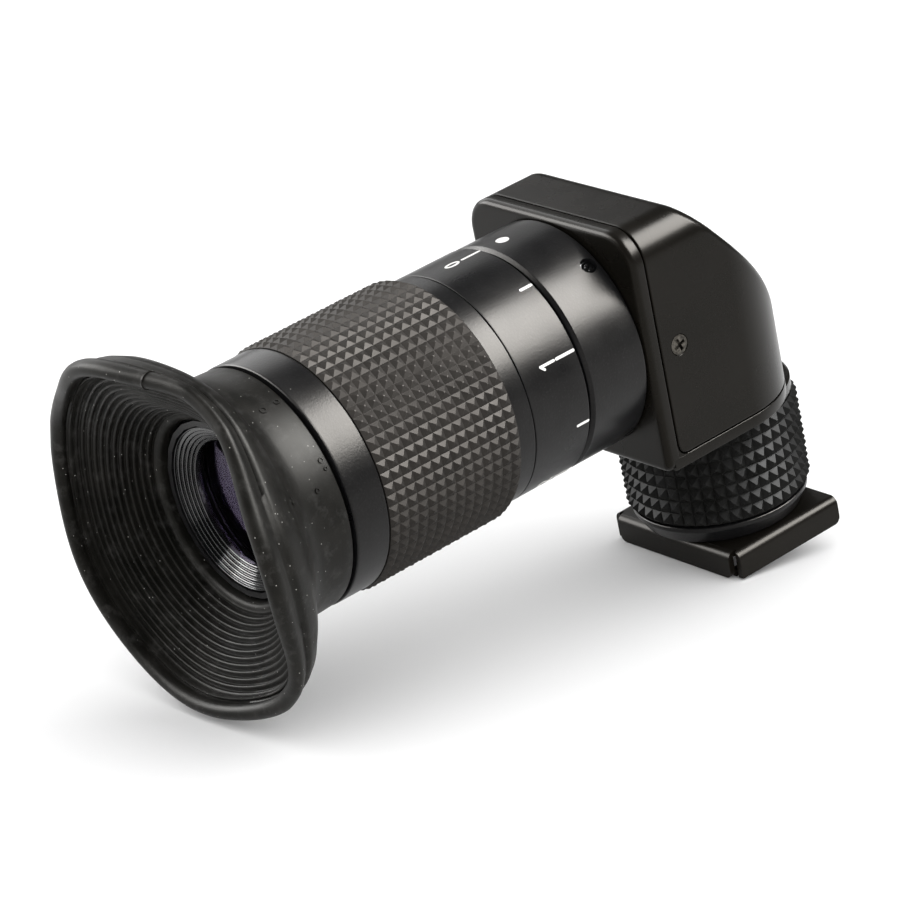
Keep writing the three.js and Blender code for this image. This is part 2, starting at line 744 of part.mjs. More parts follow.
// The inner wall falls from the rim to the floor; the outer wall hugs the barrel, then flares.
function makeEyecup() {
  const beadY = CUP_RIM_Y;
  const beadCentre = CUP_RIM_RADIUS - BEAD_RADIUS;
  return turned([
    [15.3, CUP_REAR_Y],
    [CUP_BASE_RADIUS, CUP_REAR_Y],
    [CUP_BASE_RADIUS + 0.2, -76.2],
    [18.1, -78.5],
    [21.8, -81],
    [23.6, -83.5],
    ...arc(beadCentre, beadY, BEAD_RADIUS, 20, -200, 6),
    [20.8, -83.4],
    [17, -80],
    [CUP_FLOOR_RADIUS, CUP_FLOOR_Y],
    [CUP_FLOOR_RADIUS, -76],
    [15.3, -76],
  ]);
}

// Hard ring inside the rubber that snaps over the eyepiece nose and turns on it.
const makeEyecupRing = () => turned(tube(NOSE_RADIUS + 0.25, 15.05, -75.7, -71), FEW_SIDES);

// ---------------------------------------------------------------- assembly

const finder = new THREE.Group();

function assembly(pieces) {
  const group = new THREE.Group();
  for (const [name, solid, material] of pieces) group.add(meshOf(name, solid, material));
  finder.add(group);
}

const numbered = (name, list, make, material) =>
  list.map((item, i) => [`${name}_${i + 1}`, make(item), material]);

assembly([
  ["shoe_plate", makeShoePlate(), sheetBlack],
  ["base_skirt", makeBaseSkirt(), satinBlack],
  ["swivel_spindle", makeSpindle(), satinBlack],
  ["objective_lens", makeObjective(), glass],
  ["objective_retainer", makeObjectiveRetainer(), satinBlack],
  ...numbered("shoe_screw", shoeScrewPlaces(), makeShoeScrew, blackenedSteel),
]);

assembly([["lock_ring", makeLockRing(), gripRubber]]);

assembly([
  ["housing_frame", makeFrame(), paintedBlack],
  ["housing_cover", makeCover(), paintedBlack],
  ["cover_screw_right", makeCoverScrew(1), blackenedSteel],
  ["cover_screw_left", makeCoverScrew(-1), blackenedSteel],
  ["neck_nut", makeNeckNut(), satinBlack],
  ["click_ball", makeClickBall(), brightSteel],
  ["click_spring", makeClickSpring(), brightSteel],
  ["click_plug", makeClickPlug(), brightSteel],
  ["prism_seat", makePrismSeat(), satinBlack],
  ["prism_seat_screw_right", makeSeatScrew(1), brightSteel],
  ["prism_seat_screw_left", makeSeatScrew(-1), brightSteel],
  ["roof_prism", makePrism(), glass],
  ["prism_pad_right", makePrismPad(1), softRubber],
  ["prism_pad_left", makePrismPad(-1), softRubber],
  ["fixed_barrel", makeFixedBarrel(), satinBlack],
  ["guide_screw", makeGuideScrew(), blackenedSteel],
  ...numbered("barrel_set_screw", SET_SCREW_DEGREES, makeSetScrew, blackenedSteel),
]);

assembly([
  ["eyepiece_tube", makeEyepieceTube(), satinBlack],
  ["eye_lens", makeEyeLens(), glass],
  ["eye_lens_ring", makeLensRing(), blackenedSteel],
  ["lens_spacer", makeLensSpacer(), satinBlack],
  ["field_lens", makeFieldLens(), glass],
  ["field_stop", makeFieldStop(), satinBlack],
  ["sleeve_clip", makeSleeveClip(), brightSteel],
]);

assembly([
  ["scale_ring", makeScaleRing(), satinBlack],
  ["focus_sleeve", makeFocusSleeve(), satinBlack],
  ["focus_grip", makeGrip(), gripRubber],
]);

assembly([
  ["eyecup", makeEyecup(), softRubber],
  ["eyecup_ring", makeEyecupRing(), satinBlack],
]);

export default finder;
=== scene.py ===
import json
import math
import random

import bmesh
import bpy
import numpy as np
from mathutils import Matrix, Vector


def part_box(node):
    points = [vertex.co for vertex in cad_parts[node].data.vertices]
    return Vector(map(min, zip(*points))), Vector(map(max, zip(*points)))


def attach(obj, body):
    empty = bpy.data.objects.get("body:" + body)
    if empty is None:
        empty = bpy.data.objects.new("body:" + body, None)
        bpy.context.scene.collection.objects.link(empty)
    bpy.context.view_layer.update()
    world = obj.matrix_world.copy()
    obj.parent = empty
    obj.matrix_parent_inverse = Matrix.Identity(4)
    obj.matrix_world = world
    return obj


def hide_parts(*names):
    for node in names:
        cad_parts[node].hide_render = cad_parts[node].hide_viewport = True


# Camera right-angle finder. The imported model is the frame: every size below is in millimetres
# and is read from it, or is a detail of a surface. Angles about the barrel are in degrees from
# the top towards +X.

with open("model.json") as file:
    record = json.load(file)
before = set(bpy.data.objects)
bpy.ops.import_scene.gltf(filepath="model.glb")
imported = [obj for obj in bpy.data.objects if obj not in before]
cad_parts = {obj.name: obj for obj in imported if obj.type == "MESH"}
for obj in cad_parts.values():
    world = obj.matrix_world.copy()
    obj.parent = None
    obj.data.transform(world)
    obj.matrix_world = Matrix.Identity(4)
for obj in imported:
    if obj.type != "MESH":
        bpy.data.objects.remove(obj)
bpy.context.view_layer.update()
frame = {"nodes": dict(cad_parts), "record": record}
random.seed(5)

MM = 0.001
ROUND = 160  # facets of a large ring
SMALL_ROUND = 48


def extent(node):
    low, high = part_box(node)
    return low / MM, high / MM


def centre_of(node):
    low, high = extent(node)
    return (low.x + high.x) / 2, (low.y + high.y) / 2, (low.z + high.z) / 2


def barrel_ring(node):
    """Outer radius, rear Y and front Y of a node that is turned about the barrel axis."""
    low, high = extent(node)
    return (high.x - low.x) / 2, high.y, low.y


SCALE_RADIUS, SCALE_REAR, SCALE_FRONT = barrel_ring("scale_ring")
FIXED_RADIUS, FIXED_REAR, BARREL_TAIL = barrel_ring("fixed_barrel")
BAND_RADIUS, SLEEVE_REAR, BAND_FRONT = barrel_ring("focus_sleeve")
GRIP_RADIUS, GRIP_REAR, GRIP_FRONT = barrel_ring("focus_grip")
CUP_RADIUS, CUP_REAR, CUP_FRONT = barrel_ring("eyecup")
AXIS_Z = centre_of("scale_ring")[2]
COVER_LOW, COVER_HIGH = extent("housing_cover")
PLATE_TOP = extent("housing_frame")[1].z
SHOE_LOW, SHOE_HIGH = extent("shoe_plate")
HALF_WIDTH = COVER_HIGH.x
UP = (0, 0, 1)
SIDES = ((1, "right"), (-1, "left"))

# ---- camera

CAMERA_PLACE = Vector((395.1, -319.5, 255.1)) * MM
CAMERA_AZIMUTH = 54.98
CAMERA_ELEVATION = 24.83
CAMERA_ROLL = -11.96
CAMERA_LENS = 165.13


def add_object(name, data):
    made = bpy.data.objects.new(name, data)
    bpy.context.scene.collection.objects.link(made)
    return made


def make_camera():
    azimuth = math.radians(CAMERA_AZIMUTH)
    elevation = math.radians(CAMERA_ELEVATION)
    roll = math.radians(CAMERA_ROLL)
    flat = math.cos(elevation)
    back = Vector((math.sin(azimuth) * flat, -math.cos(azimuth) * flat, math.sin(elevation)))
    level = Vector((math.cos(azimuth), math.sin(azimuth), 0))
    upward = back.cross(level)
    right = level * math.cos(roll) + upward * math.sin(roll)
    up = upward * math.cos(roll) - level * math.sin(roll)
    data = bpy.data.cameras.new("camera")
    data.lens = CAMERA_LENS
    data.clip_start = 0.01
    camera = add_object("camera", data)
    turn = Matrix((right, up, back)).transposed().to_4x4()
    camera.matrix_world = Matrix.Translation(CAMERA_PLACE) @ turn
    bpy.context.scene.camera = camera


# ---- materials

# The parts of a noise's range over which a colour or a roughness changes.
PATCH_NOISE = (0.35, 0.65)
GRAIN_NOISE = (0.55, 0.8)
SMEAR_NOISE = (0.52, 0.75)
ROUGH_NOISE = (0.3, 0.7)
ROUGH_SHARES = (0.9, 1.12)  # of a finish's roughness, from its smoothest patch to its roughest
SMEAR_SHARE = 0.45  # size of a smear beside a patch
SMEAR_COLOUR = (0.16, 0.155, 0.15)
GRAIN_GAIN = 2.2  # how much paler the grain's high spots are than the light colour
GRAIN_LIFT = 0.004


def fill(tree, made, inputs):
    """Links or sets each of a node's inputs."""
    for key, value in inputs.items():
        if isinstance(value, bpy.types.NodeSocket):
            tree.links.new(value, made.inputs[key])
        else:
            made.inputs[key].default_value = value


def node(tree, kind, inputs, **settings):
    made = tree.nodes.new(kind)
    for name, value in settings.items():
        setattr(made, name, value)
    fill(tree, made, inputs)
    return made


def new_material(name):
    material = bpy.data.materials.new(name)
    material.use_nodes = True
    tree = material.node_tree
    place = node(tree, "ShaderNodeTexCoord", {}).outputs["Object"]
    return material, tree, tree.nodes["Principled BSDF"], place


def spread(tree, value, low, high, to_low, to_high):
    """value, from low..high onto to_low..to_high."""
    names = "Value", "From Min", "From Max", "To Min", "To Max"
    inputs = dict(zip(names, (value, low, high, to_low, to_high)))
    return node(tree, "ShaderNodeMapRange", inputs).outputs["Result"]


def noise(tree, place, size_mm, detail=3.0, roughness=0.55):
    scale = 1 / (size_mm * MM)
    inputs = {"Vector": place, "Scale": scale, "Detail": detail, "Roughness": roughness}
    return node(tree, "ShaderNodeTexNoise", inputs).outputs["Fac"]


def mixed(tree, factor, first, second):
    first, second = ((*c, 1) if isinstance(c, tuple) else c for c in (first, second))
    inputs = {0: factor, 6: first, 7: second}
    return node(tree, "ShaderNodeMix", inputs, data_type="RGBA").outputs[2]


def specks(tree, place, spacing_mm, size, share):
    """A mask of small separate dust specks: share of the cells have one."""
    cells = node(tree, "ShaderNodeTexVoronoi", {"Vector": place, "Scale": 1 / (spacing_mm * MM)})
    near = spread(tree, cells.outputs["Distance"], size * 0.5, size, 1, 0)
    split = node(tree, "ShaderNodeSeparateColor", {"Color": cells.outputs["Color"]})
    chosen = spread(tree, split.outputs["Red"], 1 - share, 1 - share + 0.02, 0, 1)
    return node(tree, "ShaderNodeMath", {0: near, 1: chosen}, operation="MULTIPLY").outputs[0]


def surface(
    name, dark, light, roughness, patch_mm=6.0, grain_mm=0.2, grain=0.1, depth_mm=0.02,
    metallic=0.0, specular=0.5, tint=(1.0, 1.0, 1.0), dust=None, smudge=0.0,
):
    """A finish with patches of colour, a fine grain in relief and loose dust. tint is the colour
    of its reflections and its dust. dust is the spacing of the specks in mm, their size as a share
    of that, and the share of places that have one."""
    material, tree, shader, place = new_material(name)
    patches = noise(tree, place, patch_mm)
    fine = noise(tree, place, grain_mm, 2.0)
    colour = mixed(tree, spread(tree, patches, *PATCH_NOISE, 0, 1), dark, light)
    pale = tuple(min(1, GRAIN_GAIN * c + GRAIN_LIFT) for c in light)
    colour = mixed(tree, spread(tree, fine, *GRAIN_NOISE, 0, grain), colour, pale)
    if smudge:
        smear = noise(tree, place, patch_mm * SMEAR_SHARE, 6.0, 0.7)
        colour = mixed(tree, spread(tree, smear, *SMEAR_NOISE, 0, smudge), colour, SMEAR_COLOUR)
    if dust:
        colour = mixed(tree, specks(tree, place, *dust), colour, tint)
    rough = spread(tree, patches, *ROUGH_NOISE, *(roughness * share for share in ROUGH_SHARES))
    relief = {"Height": fine, "Strength": 1.0, "Distance": depth_mm * MM}
    inputs = {
        "Base Color": colour,
        "Roughness": rough,
        "Normal": node(tree, "ShaderNodeBump", relief).outputs["Normal"],
        "Metallic": metallic,
        "Specular IOR Level": specular,
        "Specular Tint": (*tint, 1),
    }
    fill(tree, shader, inputs)
    return material


def glass(name, tint, edge):
    """Coated glass: clear, with the coating's colour in its reflections."""
    material, tree, shader, place = new_material(name)
    haze = spread(tree, noise(tree, place, 3.0, 5.0, 0.7), 0.45, 0.8, 0, 0.5)
    inputs = {
        "Base Color": mixed(tree, haze, tint, edge),
        "Roughness": spread(tree, noise(tree, place, 2.0, 4.0), *ROUGH_NOISE, 0.012, 0.03),
        "Transmission Weight": 1.0,
        "IOR": 1.62,
        "Specular Tint": (0.75, 0.62, 1.0, 1),
    }
    fill(tree, shader, inputs)
    return material


def paper_floor():
    material, tree, shader, place = new_material("pale_paper")
    tone = mixed(tree, noise(tree, place, 60.0), (0.90, 0.90, 0.90), (0.93, 0.93, 0.93))
    fill(tree, shader, {"Base Color": tone, "Roughness": 0.9, "Specular IOR Level": 0.1})
    return material


satin = surface(
    "satin_anodised", (0.0055, 0.0055, 0.006), (0.008, 0.008, 0.0085), 0.3,
    grain_mm=0.3, grain=0.5, depth_mm=0.014, specular=0.3, tint=(0.4, 0.38, 0.35),
    dust=(2.6, 0.035, 0.3),
)
paint = surface(
    "black_paint", (0.0045, 0.0040, 0.0030), (0.0065, 0.0056, 0.0044), 0.27,
    patch_mm=14, grain_mm=0.45, grain=0.15, depth_mm=0.001, specular=0.22, tint=(0.35, 0.33, 0.3),
    dust=(3.4, 0.028, 0.12),
)
sheet = surface(
    "painted_sheet", (0.0045, 0.0038, 0.0028), (0.0065, 0.0055, 0.0042), 0.3,
    patch_mm=9, grain_mm=0.35, grain=0.2, depth_mm=0.003, specular=0.24, tint=(0.3, 0.28, 0.25),
    dust=(3.0, 0.03, 0.25),
)
knurl = surface(
    "moulded_knurl", (0.006, 0.006, 0.0055), (0.01, 0.01, 0.0095), 0.46,
    patch_mm=3, grain_mm=0.15, grain=0.2, depth_mm=0.004, specular=0.07,
)
grip = surface(
    "grip_rubber", (0.0092, 0.0082, 0.0072), (0.0145, 0.0127, 0.0111), 0.56,
    patch_mm=5, grain_mm=0.12, grain=0.5, depth_mm=0.006, specular=0.19, tint=(1.0, 0.93, 0.86),
)
rubber = surface(
    "eyecup_rubber", (0.0045, 0.0043, 0.0036), (0.009, 0.0084, 0.0072), 0.42,
    patch_mm=4, grain_mm=0.2, grain=0.3, depth_mm=0.012, specular=0.15, tint=(0.5, 0.49, 0.46),
    dust=(0.9, 0.085, 0.5), smudge=0.14,
)
gloss_black = surface(
    "gloss_black", (0.004, 0.004, 0.0045), (0.006, 0.006, 0.006), 0.13,
    patch_mm=3, grain_mm=0.15, grain=0.1, depth_mm=0.002, specular=0.75,
)
screw_black = surface(
    "blackened_screw", (0.018, 0.016, 0.013), (0.07, 0.064, 0.054), 0.42,
    patch_mm=0.4, grain_mm=0.12, grain=0.7, depth_mm=0.03, metallic=0.85,
)
steel = surface(
    "bright_steel", (0.42, 0.42, 0.43), (0.55, 0.55, 0.56), 0.28,
    patch_mm=1.5, grain_mm=0.1, grain=0.3, depth_mm=0.002, metallic=1.0,
)
white_fill = surface(
    "white_fill", (0.74, 0.73, 0.70), (0.84, 0.83, 0.81), 0.5,
    patch_mm=0.8, grain_mm=0.1, grain=0.1, depth_mm=0.004,
)
coated_glass = glass("coated_glass", (0.80, 0.76, 0.88), (0.62, 0.52, 0.68))

CAD_FINISH = {
    "satin_alloy": satin,
    "housing_paint": paint,
    "shoe_sheet": sheet,
    "lock_ring_knurl": knurl,
    "grip_rubber": grip,
    "eyecup_rubber": rubber,
    "pad_rubber": rubber,
    "black_screws": screw_black,
    "bright_steel": steel,
    "coated_glass": coated_glass,
}

# ---- mesh helpers


def new_object(name, points, faces):
    """An object from points in millimetres."""
    mesh = bpy.data.meshes.new(name)
    mesh.from_pydata([(x * MM, y * MM, z * MM) for x, y, z in points], [], faces)
    made = add_object(name, mesh)
    work = bmesh.new()
    work.from_mesh(mesh)
    bmesh.ops.remove_doubles(work, verts=work.verts, dist=1e-7)
    bmesh.ops.recalc_face_normals(work, faces=work.faces)
    work.to_mesh(mesh)
    work.free()
    return made


def combine(base, other, operation):
    """Joins other to base, cuts it out, or keeps what both hold. other is used up."""
    modifier = base.modifiers.new("solid", "BOOLEAN")
    modifier.operation = operation
    modifier.object = other
    modifier.solver = "MANIFOLD"
    graph = bpy.context.evaluated_depsgraph_get()
    graph.update()
    result = bpy.data.meshes.new_from_object(base.evaluated_get(graph))
    base.modifiers.clear()
    base.data = result
    bpy.data.objects.remove(other)
    return base


def union(base, *others):
    for other in others:
        combine(base, other, "UNION")
    return base


def cut(base, *others):
    for other in others:
        combine(base, other, "DIFFERENCE")
    return base


def shade(piece, material, sharp):
    piece.data.materials.clear()
    piece.data.materials.append(material)
    piece.data.shade_smooth()
    piece.data.set_sharp_from_angle(angle=math.radians(sharp))


def finish_piece(piece, body, material, replaces=(), sharp=32, bevel_mm=0.0):
    """Gives a piece its finish, edge rounding and body, and hides the nodes it replaces."""
    shade(piece, material, sharp)
    if bevel_mm:
        bevel = piece.modifiers.new("edges", "BEVEL")
        bevel.width = bevel_mm * MM
        bevel.segments = 2
        bevel.limit_method = "ANGLE"
        bevel.angle_limit = math.radians(sharp)
        bevel.harden_normals = True
    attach(piece, body)
    if replaces:
        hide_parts(*replaces)


def rounded(corners, radius=0.15, steps=3):
    """A closed outline with its corners rounded. A corner may carry its own radius."""
    support = 0.12  # from a rounding to an extra point, which keeps the flat side's shading even
    most = 0.42  # of a side that one rounding may take up
    outline = []
    for i, corner in enumerate(corners):
        here = np.array(corner[:2], float)
        before = np.array(corners[i - 1][:2], float) - here
        after = np.array(corners[(i + 1) % len(corners)][:2], float) - here
        size = corner[2] if len(corner) > 2 else radius
        lengths = np.linalg.norm(before), np.linalg.norm(after)
        before /= lengths[0]
        after /= lengths[1]
        half = math.acos(max(-1, min(1, float(before @ after)))) / 2
        reach = min(size / max(math.tan(half), 0.05), most * lengths[0], most * lengths[1])
        start, end = here + before * reach, here + after * reach
        if lengths[0] > reach + 4 * support:
            outline.append(start + before * support)
        for k in range(steps + 1):
            t = k / steps
            outline.append((1 - t) ** 2 * start + 2 * t * (1 - t) * here + t * t * end)
        if lengths[1] > reach + 4 * support:
            outline.append(end + after * support)
    return [tuple(p) for p in outline]


def arc(centre, radius, start, turn=90, steps=8):
    """Points of an arc, anticlockwise from start degrees."""
    turns = [math.radians(start + turn * k / steps) for k in range(steps + 1)]
    return [(centre[0] + radius * math.cos(a), centre[1] + radius * math.sin(a)) for a in turns]


def edge_steps(radius, steps=4):
    """A rounded edge, from the face to the side: how far in from the side and from the face."""
    turns = [math.radians(90 * k / steps) for k in range(steps + 1)]
    return [(radius * (1 - math.sin(a)), radius * (1 - math.cos(a))) for a in turns]


def barrel_point(angle, radius, y):
    return radius * math.sin(angle), y, AXIS_Z + radius * math.cos(angle)


def swivel_point(angle, radius, z):
    return radius * math.sin(angle), -radius * math.cos(angle), z


def band(a, b, count):
    """Faces between two loops of count points, which start at points a and b."""
    return [(a + i, a + (i + 1) % count, b + (i + 1) % count, b + i) for i in range(count)]


def stack(name, loops):
    """A solid between the first and the last of some loops with as many points each."""
    count, last = len(loops[0]), len(loops) - 1
    faces = [tuple(range(count)), tuple(range((last + 1) * count - 1, last * count - 1, -1))]
    for j in range(last):
        faces += band(j * count, (j + 1) * count, count)
    return new_object(name, [point for loop in loops for point in loop], faces)


def revolve(name, outline, place=barrel_point, sides=ROUND, closed=True):
    """A solid of revolution. An outline that isn't closed starts and ends on the axis."""
    count = len(outline)
    points = [place(2 * math.pi * i / sides, r, t) for i in range(sides) for r, t in outline]
    faces = []
    for i in range(sides):
        faces += band(i * count, ((i + 1) % sides) * count, count)[: count if closed else -1]
    return new_object(name, points, faces)


def prism(name, outline, place, low, high):
    """An outline of [u, v] pairs carried from low to high; place(u, v, w) gives the point."""
    return stack(name, [[place(u, v, w) for u, v in outline] for w in (low, high)])


def block(name, x, y, z):
    corners = [(x[0], y[0]), (x[1], y[0]), (x[1], y[1]), (x[0], y[1])]
    return prism(name, corners, lambda u, v, w: (u, v, w), *z)


def rod(name, place, outward, radius, low, high, sides=SMALL_ROUND, end_radius=None):
    """A round rod about a line through place, from low to high along outward."""
    turn = Vector(outward).to_track_quat("Z", "Y")
    end = radius if end_radius is None else end_radius
    turns = [2 * math.pi * i / sides for i in range(sides)]
    loops = []
    for r, t in ((radius, low), (end, high)):
        ring = [Vector((r * math.cos(a), r * math.sin(a), t)) for a in turns]
        loops.append([Vector(place) + turn @ point for point in ring])
    return stack(name, loops)


KNURL_GROOVE = 0.003  # half the flat between two pyramids, as a share of the pitch
KNURL_WEAR = 0.08  # how much lower than the rest a tip can be, as a share of the height


def knurled(name, place, columns, rows, start, end, valley, tip, bore, flat):
    """A ring whose outside is a grid of low square pyramids with small flat tips."""
    pitch = (end - start) / rows
    edges = (KNURL_GROOVE, 1 - KNURL_GROOVE)
    across = [i + s for i in range(columns) for s in edges]
    along = [start + (j + s) * pitch for j in range(rows) for s in edges]
    along[0], along[-1] = start, end
    wide, long = len(across), len(along)

    def at(u, radius, t):
        return place(2 * math.pi * u / columns, radius, t)

    points = [at(u, valley, t) for u in across for t in along]
    faces = []
    for i in range(wide):
        a, b = i * long, ((i + 1) % wide) * long
        for j in range(long - 1):
            base = (a + j, a + j + 1, b + j + 1, b + j)
            if i % 2 or j % 2:
                faces.append(base)
                continue
            u, t = (across[i] + across[i + 1]) / 2, (along[j] + along[j + 1]) / 2
            height = tip - random.random() * KNURL_WEAR * (tip - valley)
            top = len(points)
            for du, dt in ((-flat, -flat), (-flat, flat), (flat, flat), (flat, -flat)):
                points.append(at(u + du, height, t + dt * pitch))
            faces.append(tuple(range(top, top + 4)))
            for k in range(4):
                n = (k + 1) % 4
                faces.append((base[k], base[n], top + n, top + k))
    inner = len(points)
    for u in across:
        points.append(at(u, bore, start))
        points.append(at(u, bore, end))
    for i in range(wide):
        k = (i + 1) % wide
        a, b = inner + 2 * i, inner + 2 * k
        faces.append((a, a + 1, b + 1, b))
        faces.append((a, b, k * long, i * long))
        faces.append((a + 1, i * long + long - 1, k * long + long - 1, b + 1))
    return new_object(name, points, faces)


# ---- prism housing

CORNER_BACK = 13.0  # radius of the upright corners at the back
CORNER_TOP = 4.7
SLOPE_EDGE_SIDE = 0.9  # rounding of the slope's edge at the sides, where it is crisp
SLOPE_EDGE_BACK = 5.5  # and at the middle of the back
SLOPE_START_Y = -10.3
SLOPE_DEGREES = 49.5
COVER_WALL = 1.2
SEAM_EDGE = 0.16  # rounding of the cover's edges along the seam
SEAM_CORNER = 1.3  # turn of the seam at the foot of the front plate
SEAM_GAP = 0.2
SLOPE_MIDDLE = 3.0  # how far from the middle the slope's soft edge starts to turn crisp
COVER_STEP = 0.4  # spacing of the cover's points
SEAM_STEPS = (0.03, 0.08, 0.14, 0.2, 0.26, 0.33, 0.55)  # closer rows of them along the seam
CREASE_STEP = 0.25  # and where the slope starts
CREASE_ROWS = range(-8, 9)
COVER_HOLE = 1.1
SINK_FOOT = 0.9
SINK_MOUTH = 1.6
SINK_DEPTH = 0.75


def round_max(a, b, radius):
    """Distance outside both of two regions, with a fillet where they meet."""
    inside = np.minimum(np.maximum(a, b), -radius)
    return inside + np.hypot(np.maximum(a + radius, 0), np.maximum(b + radius, 0))


def casing_distance(x, y, z, open_edges):
    back, up = math.sin(math.radians(SLOPE_DEGREES)), math.cos(math.radians(SLOPE_DEGREES))
    reach = back * SLOPE_START_Y + up * COVER_HIGH.z
    wall = round_max(np.abs(x) - HALF_WIDTH, y - COVER_HIGH.y, CORNER_BACK)
    box = round_max(wall, z - COVER_HIGH.z, CORNER_TOP)
    sloped = back * y + up * z - reach
    towards_back = np.clip((y - SLOPE_START_Y) / (COVER_HIGH.y - SLOPE_START_Y), 0, 1)
    off_middle = (np.abs(x) - SLOPE_MIDDLE) / (HALF_WIDTH - SLOPE_MIDDLE)
    towards_middle = 1 - np.clip(off_middle, 0, 1)
    edge = SLOPE_EDGE_SIDE + (SLOPE_EDGE_BACK - SLOPE_EDGE_SIDE) * towards_back * towards_middle
    distance = round_max(box, sloped, edge)
    if open_edges:
        return distance
    seams = round_max(COVER_LOW.y - y, COVER_LOW.z - z, SEAM_CORNER)
    return round_max(distance, seams, SEAM_EDGE)


def casing_points(grid, inset, open_edges):
    """Each point of a box around the casing, moved in along its ray onto the casing."""
    core = grid.copy()
    core[:, 0] = np.clip(grid[:, 0], -(HALF_WIDTH - CORNER_BACK), HALF_WIDTH - CORNER_BACK)
    core[:, 1] = np.minimum(grid[:, 1], COVER_HIGH.y - CORNER_BACK)
    core[:, 2] = np.minimum(grid[:, 2], COVER_HIGH.z - CORNER_BACK)
    near, far = np.zeros(len(grid)), np.ones(len(grid))
    for _ in range(40):
        middle = (near + far) / 2
        at = core + (grid - core) * middle[:, None]
        outside = casing_distance(*at.T, open_edges) + inset > 0
        far = np.where(outside, middle, far)
        near = np.where(outside, near, middle)
    return core + (grid - core) * near[:, None]


def steps_between(low, high, step, extra=()):
    count = max(2, round((high - low) / step))
    values = [low + (high - low) * i / count for i in range(count + 1)]
    return sorted(set(round(v, 5) for v in [*values, *extra]))


def make_cover():
    crease = [SLOPE_START_Y + CREASE_STEP * k for k in CREASE_ROWS]
    seam_ys = [COVER_LOW.y + e for e in SEAM_STEPS]
    seam_zs = [COVER_LOW.z + e for e in SEAM_STEPS]
    xs = steps_between(-HALF_WIDTH, HALF_WIDTH, COVER_STEP)
    ys = steps_between(COVER_LOW.y, COVER_HIGH.y, COVER_STEP, seam_ys + crease)
    zs = steps_between(COVER_LOW.z, COVER_HIGH.z, COVER_STEP, seam_zs)
    index, grid, faces, rim = {}, [], [], []

    def at(x, y, z):
        if (x, y, z) not in index:
            index[x, y, z] = len(grid)
            grid.append((x, y, z))
        return index[x, y, z]

    def sheet_of(rows, columns, point):
        for a, b in zip(rows, rows[1:]):
            for c, d in zip(columns, columns[1:]):
                corners = (a, c), (b, c), (b, d), (a, d)
                faces.append(tuple(at(*point(*corner)) for corner in corners))

    left, right, front, back, low, top = xs[0], xs[-1], ys[0], ys[-1], zs[0], zs[-1]
    for side in (left, right):
        sheet_of(ys, zs, lambda y, z: (side, y, z))
        rim += [(at(side, front, a), at(side, front, b)) for a, b in zip(zs, zs[1:])]
        rim += [(at(side, a, low), at(side, b, low)) for a, b in zip(ys, ys[1:])]
    sheet_of(xs, ys, lambda x, y: (x, y, top))
    sheet_of(xs, zs, lambda x, z: (x, back, z))
    rim += [(at(a, front, top), at(b, front, top)) for a, b in zip(xs, xs[1:])]
    rim += [(at(a, back, low), at(b, back, low)) for a, b in zip(xs, xs[1:])]

    grid = np.array(grid, float)
    outer = casing_points(grid, 0.0, False)
    inner = casing_points(grid, COVER_WALL, True)
    count = len(grid)
    faces += [tuple(i + count for i in face) for face in faces]
    faces += [(a, b, b + count, a + count) for a, b in rim]
    cover = new_object("cover_shell", [*outer, *inner], faces)
    for side, name in SIDES:
        place = (side * HALF_WIDTH, *centre_of(f"cover_screw_{name}")[1:])
        outward = (side, 0, 0)
        cut(cover, rod("hole", place, outward, COVER_HOLE, -2.5, 1))
        cut(cover, rod("sink", place, outward, SINK_FOOT, -SINK_DEPTH, 0.15, end_radius=SINK_MOUTH))
    finish_piece(cover, "housing", paint, ["housing_cover"], sharp=40)


# The front plate's outline, the same as the cover's from in front, with small rounded feet.
FOOT_RADIUS = 1.2
PLATE_EDGE = 0.85  # rounding of the plate's front edge
SPIGOT_RADIUS = 14.05
SPIGOT_BORE = 12.4
SPIGOT_FRONT = -26.7
PLATE_FRONT = SPIGOT_FRONT + 6.0
PLATE_REAR = COVER_LOW.y - SEAM_GAP
RAIL_TOP = COVER_LOW.z - SEAM_GAP
RAIL_LOW = RAIL_TOP - 1.6
COLLAR_RADIUS = 12.1
COLLAR_STEP = 8.0
NECK_RADIUS = 10.65
NECK_BORE = 9.15
NECK_ROOF = 21.2
NECK_LOW = 7.2
NECK_TOP = 20.9
COLLAR_LOW = 20.3
COLLAR_EDGE = 0.3
FLOOR_HOLE = 6.3
PLATE_REAR_EDGE = 0.2
PLATE_SIDES = 480
RAIL_EDGE = 0.12
POST_RADIUS = 1.9  # the click stop's post inside the housing
POST_BORE = 0.9
POST_LOW = 22.6
POST_TOP = 26.8
BOSS_X = (11.5, 14.6)  # the bosses that the cover screws go into
BOSS_Y = (-19, -12.6)
BOSS_HALF = 2.6
BOSS_BORE = 1.0
SEAT_SCREW_BORE = 0.75


def plate_reach(angle, inset):
    """How far the plate's outline is from the barrel axis, at an angle from the top."""
    dx, dz = math.sin(angle), math.cos(angle)
    near, far = 5.0, 40.0
    for _ in range(30):
        middle = (near + far) / 2
        side = abs(dx * middle) - (HALF_WIDTH - inset)
        height = dz * middle + AXIS_Z
        top = height - (PLATE_TOP - inset)
        foot = RAIL_LOW + inset - height
        upper = round_max(side, top, CORNER_TOP - inset)
        lower = round_max(side, foot, max(FOOT_RADIUS - inset, 0.05))
        if max(upper, lower) > 0:
            far = middle
        else:
            near = middle
    return near


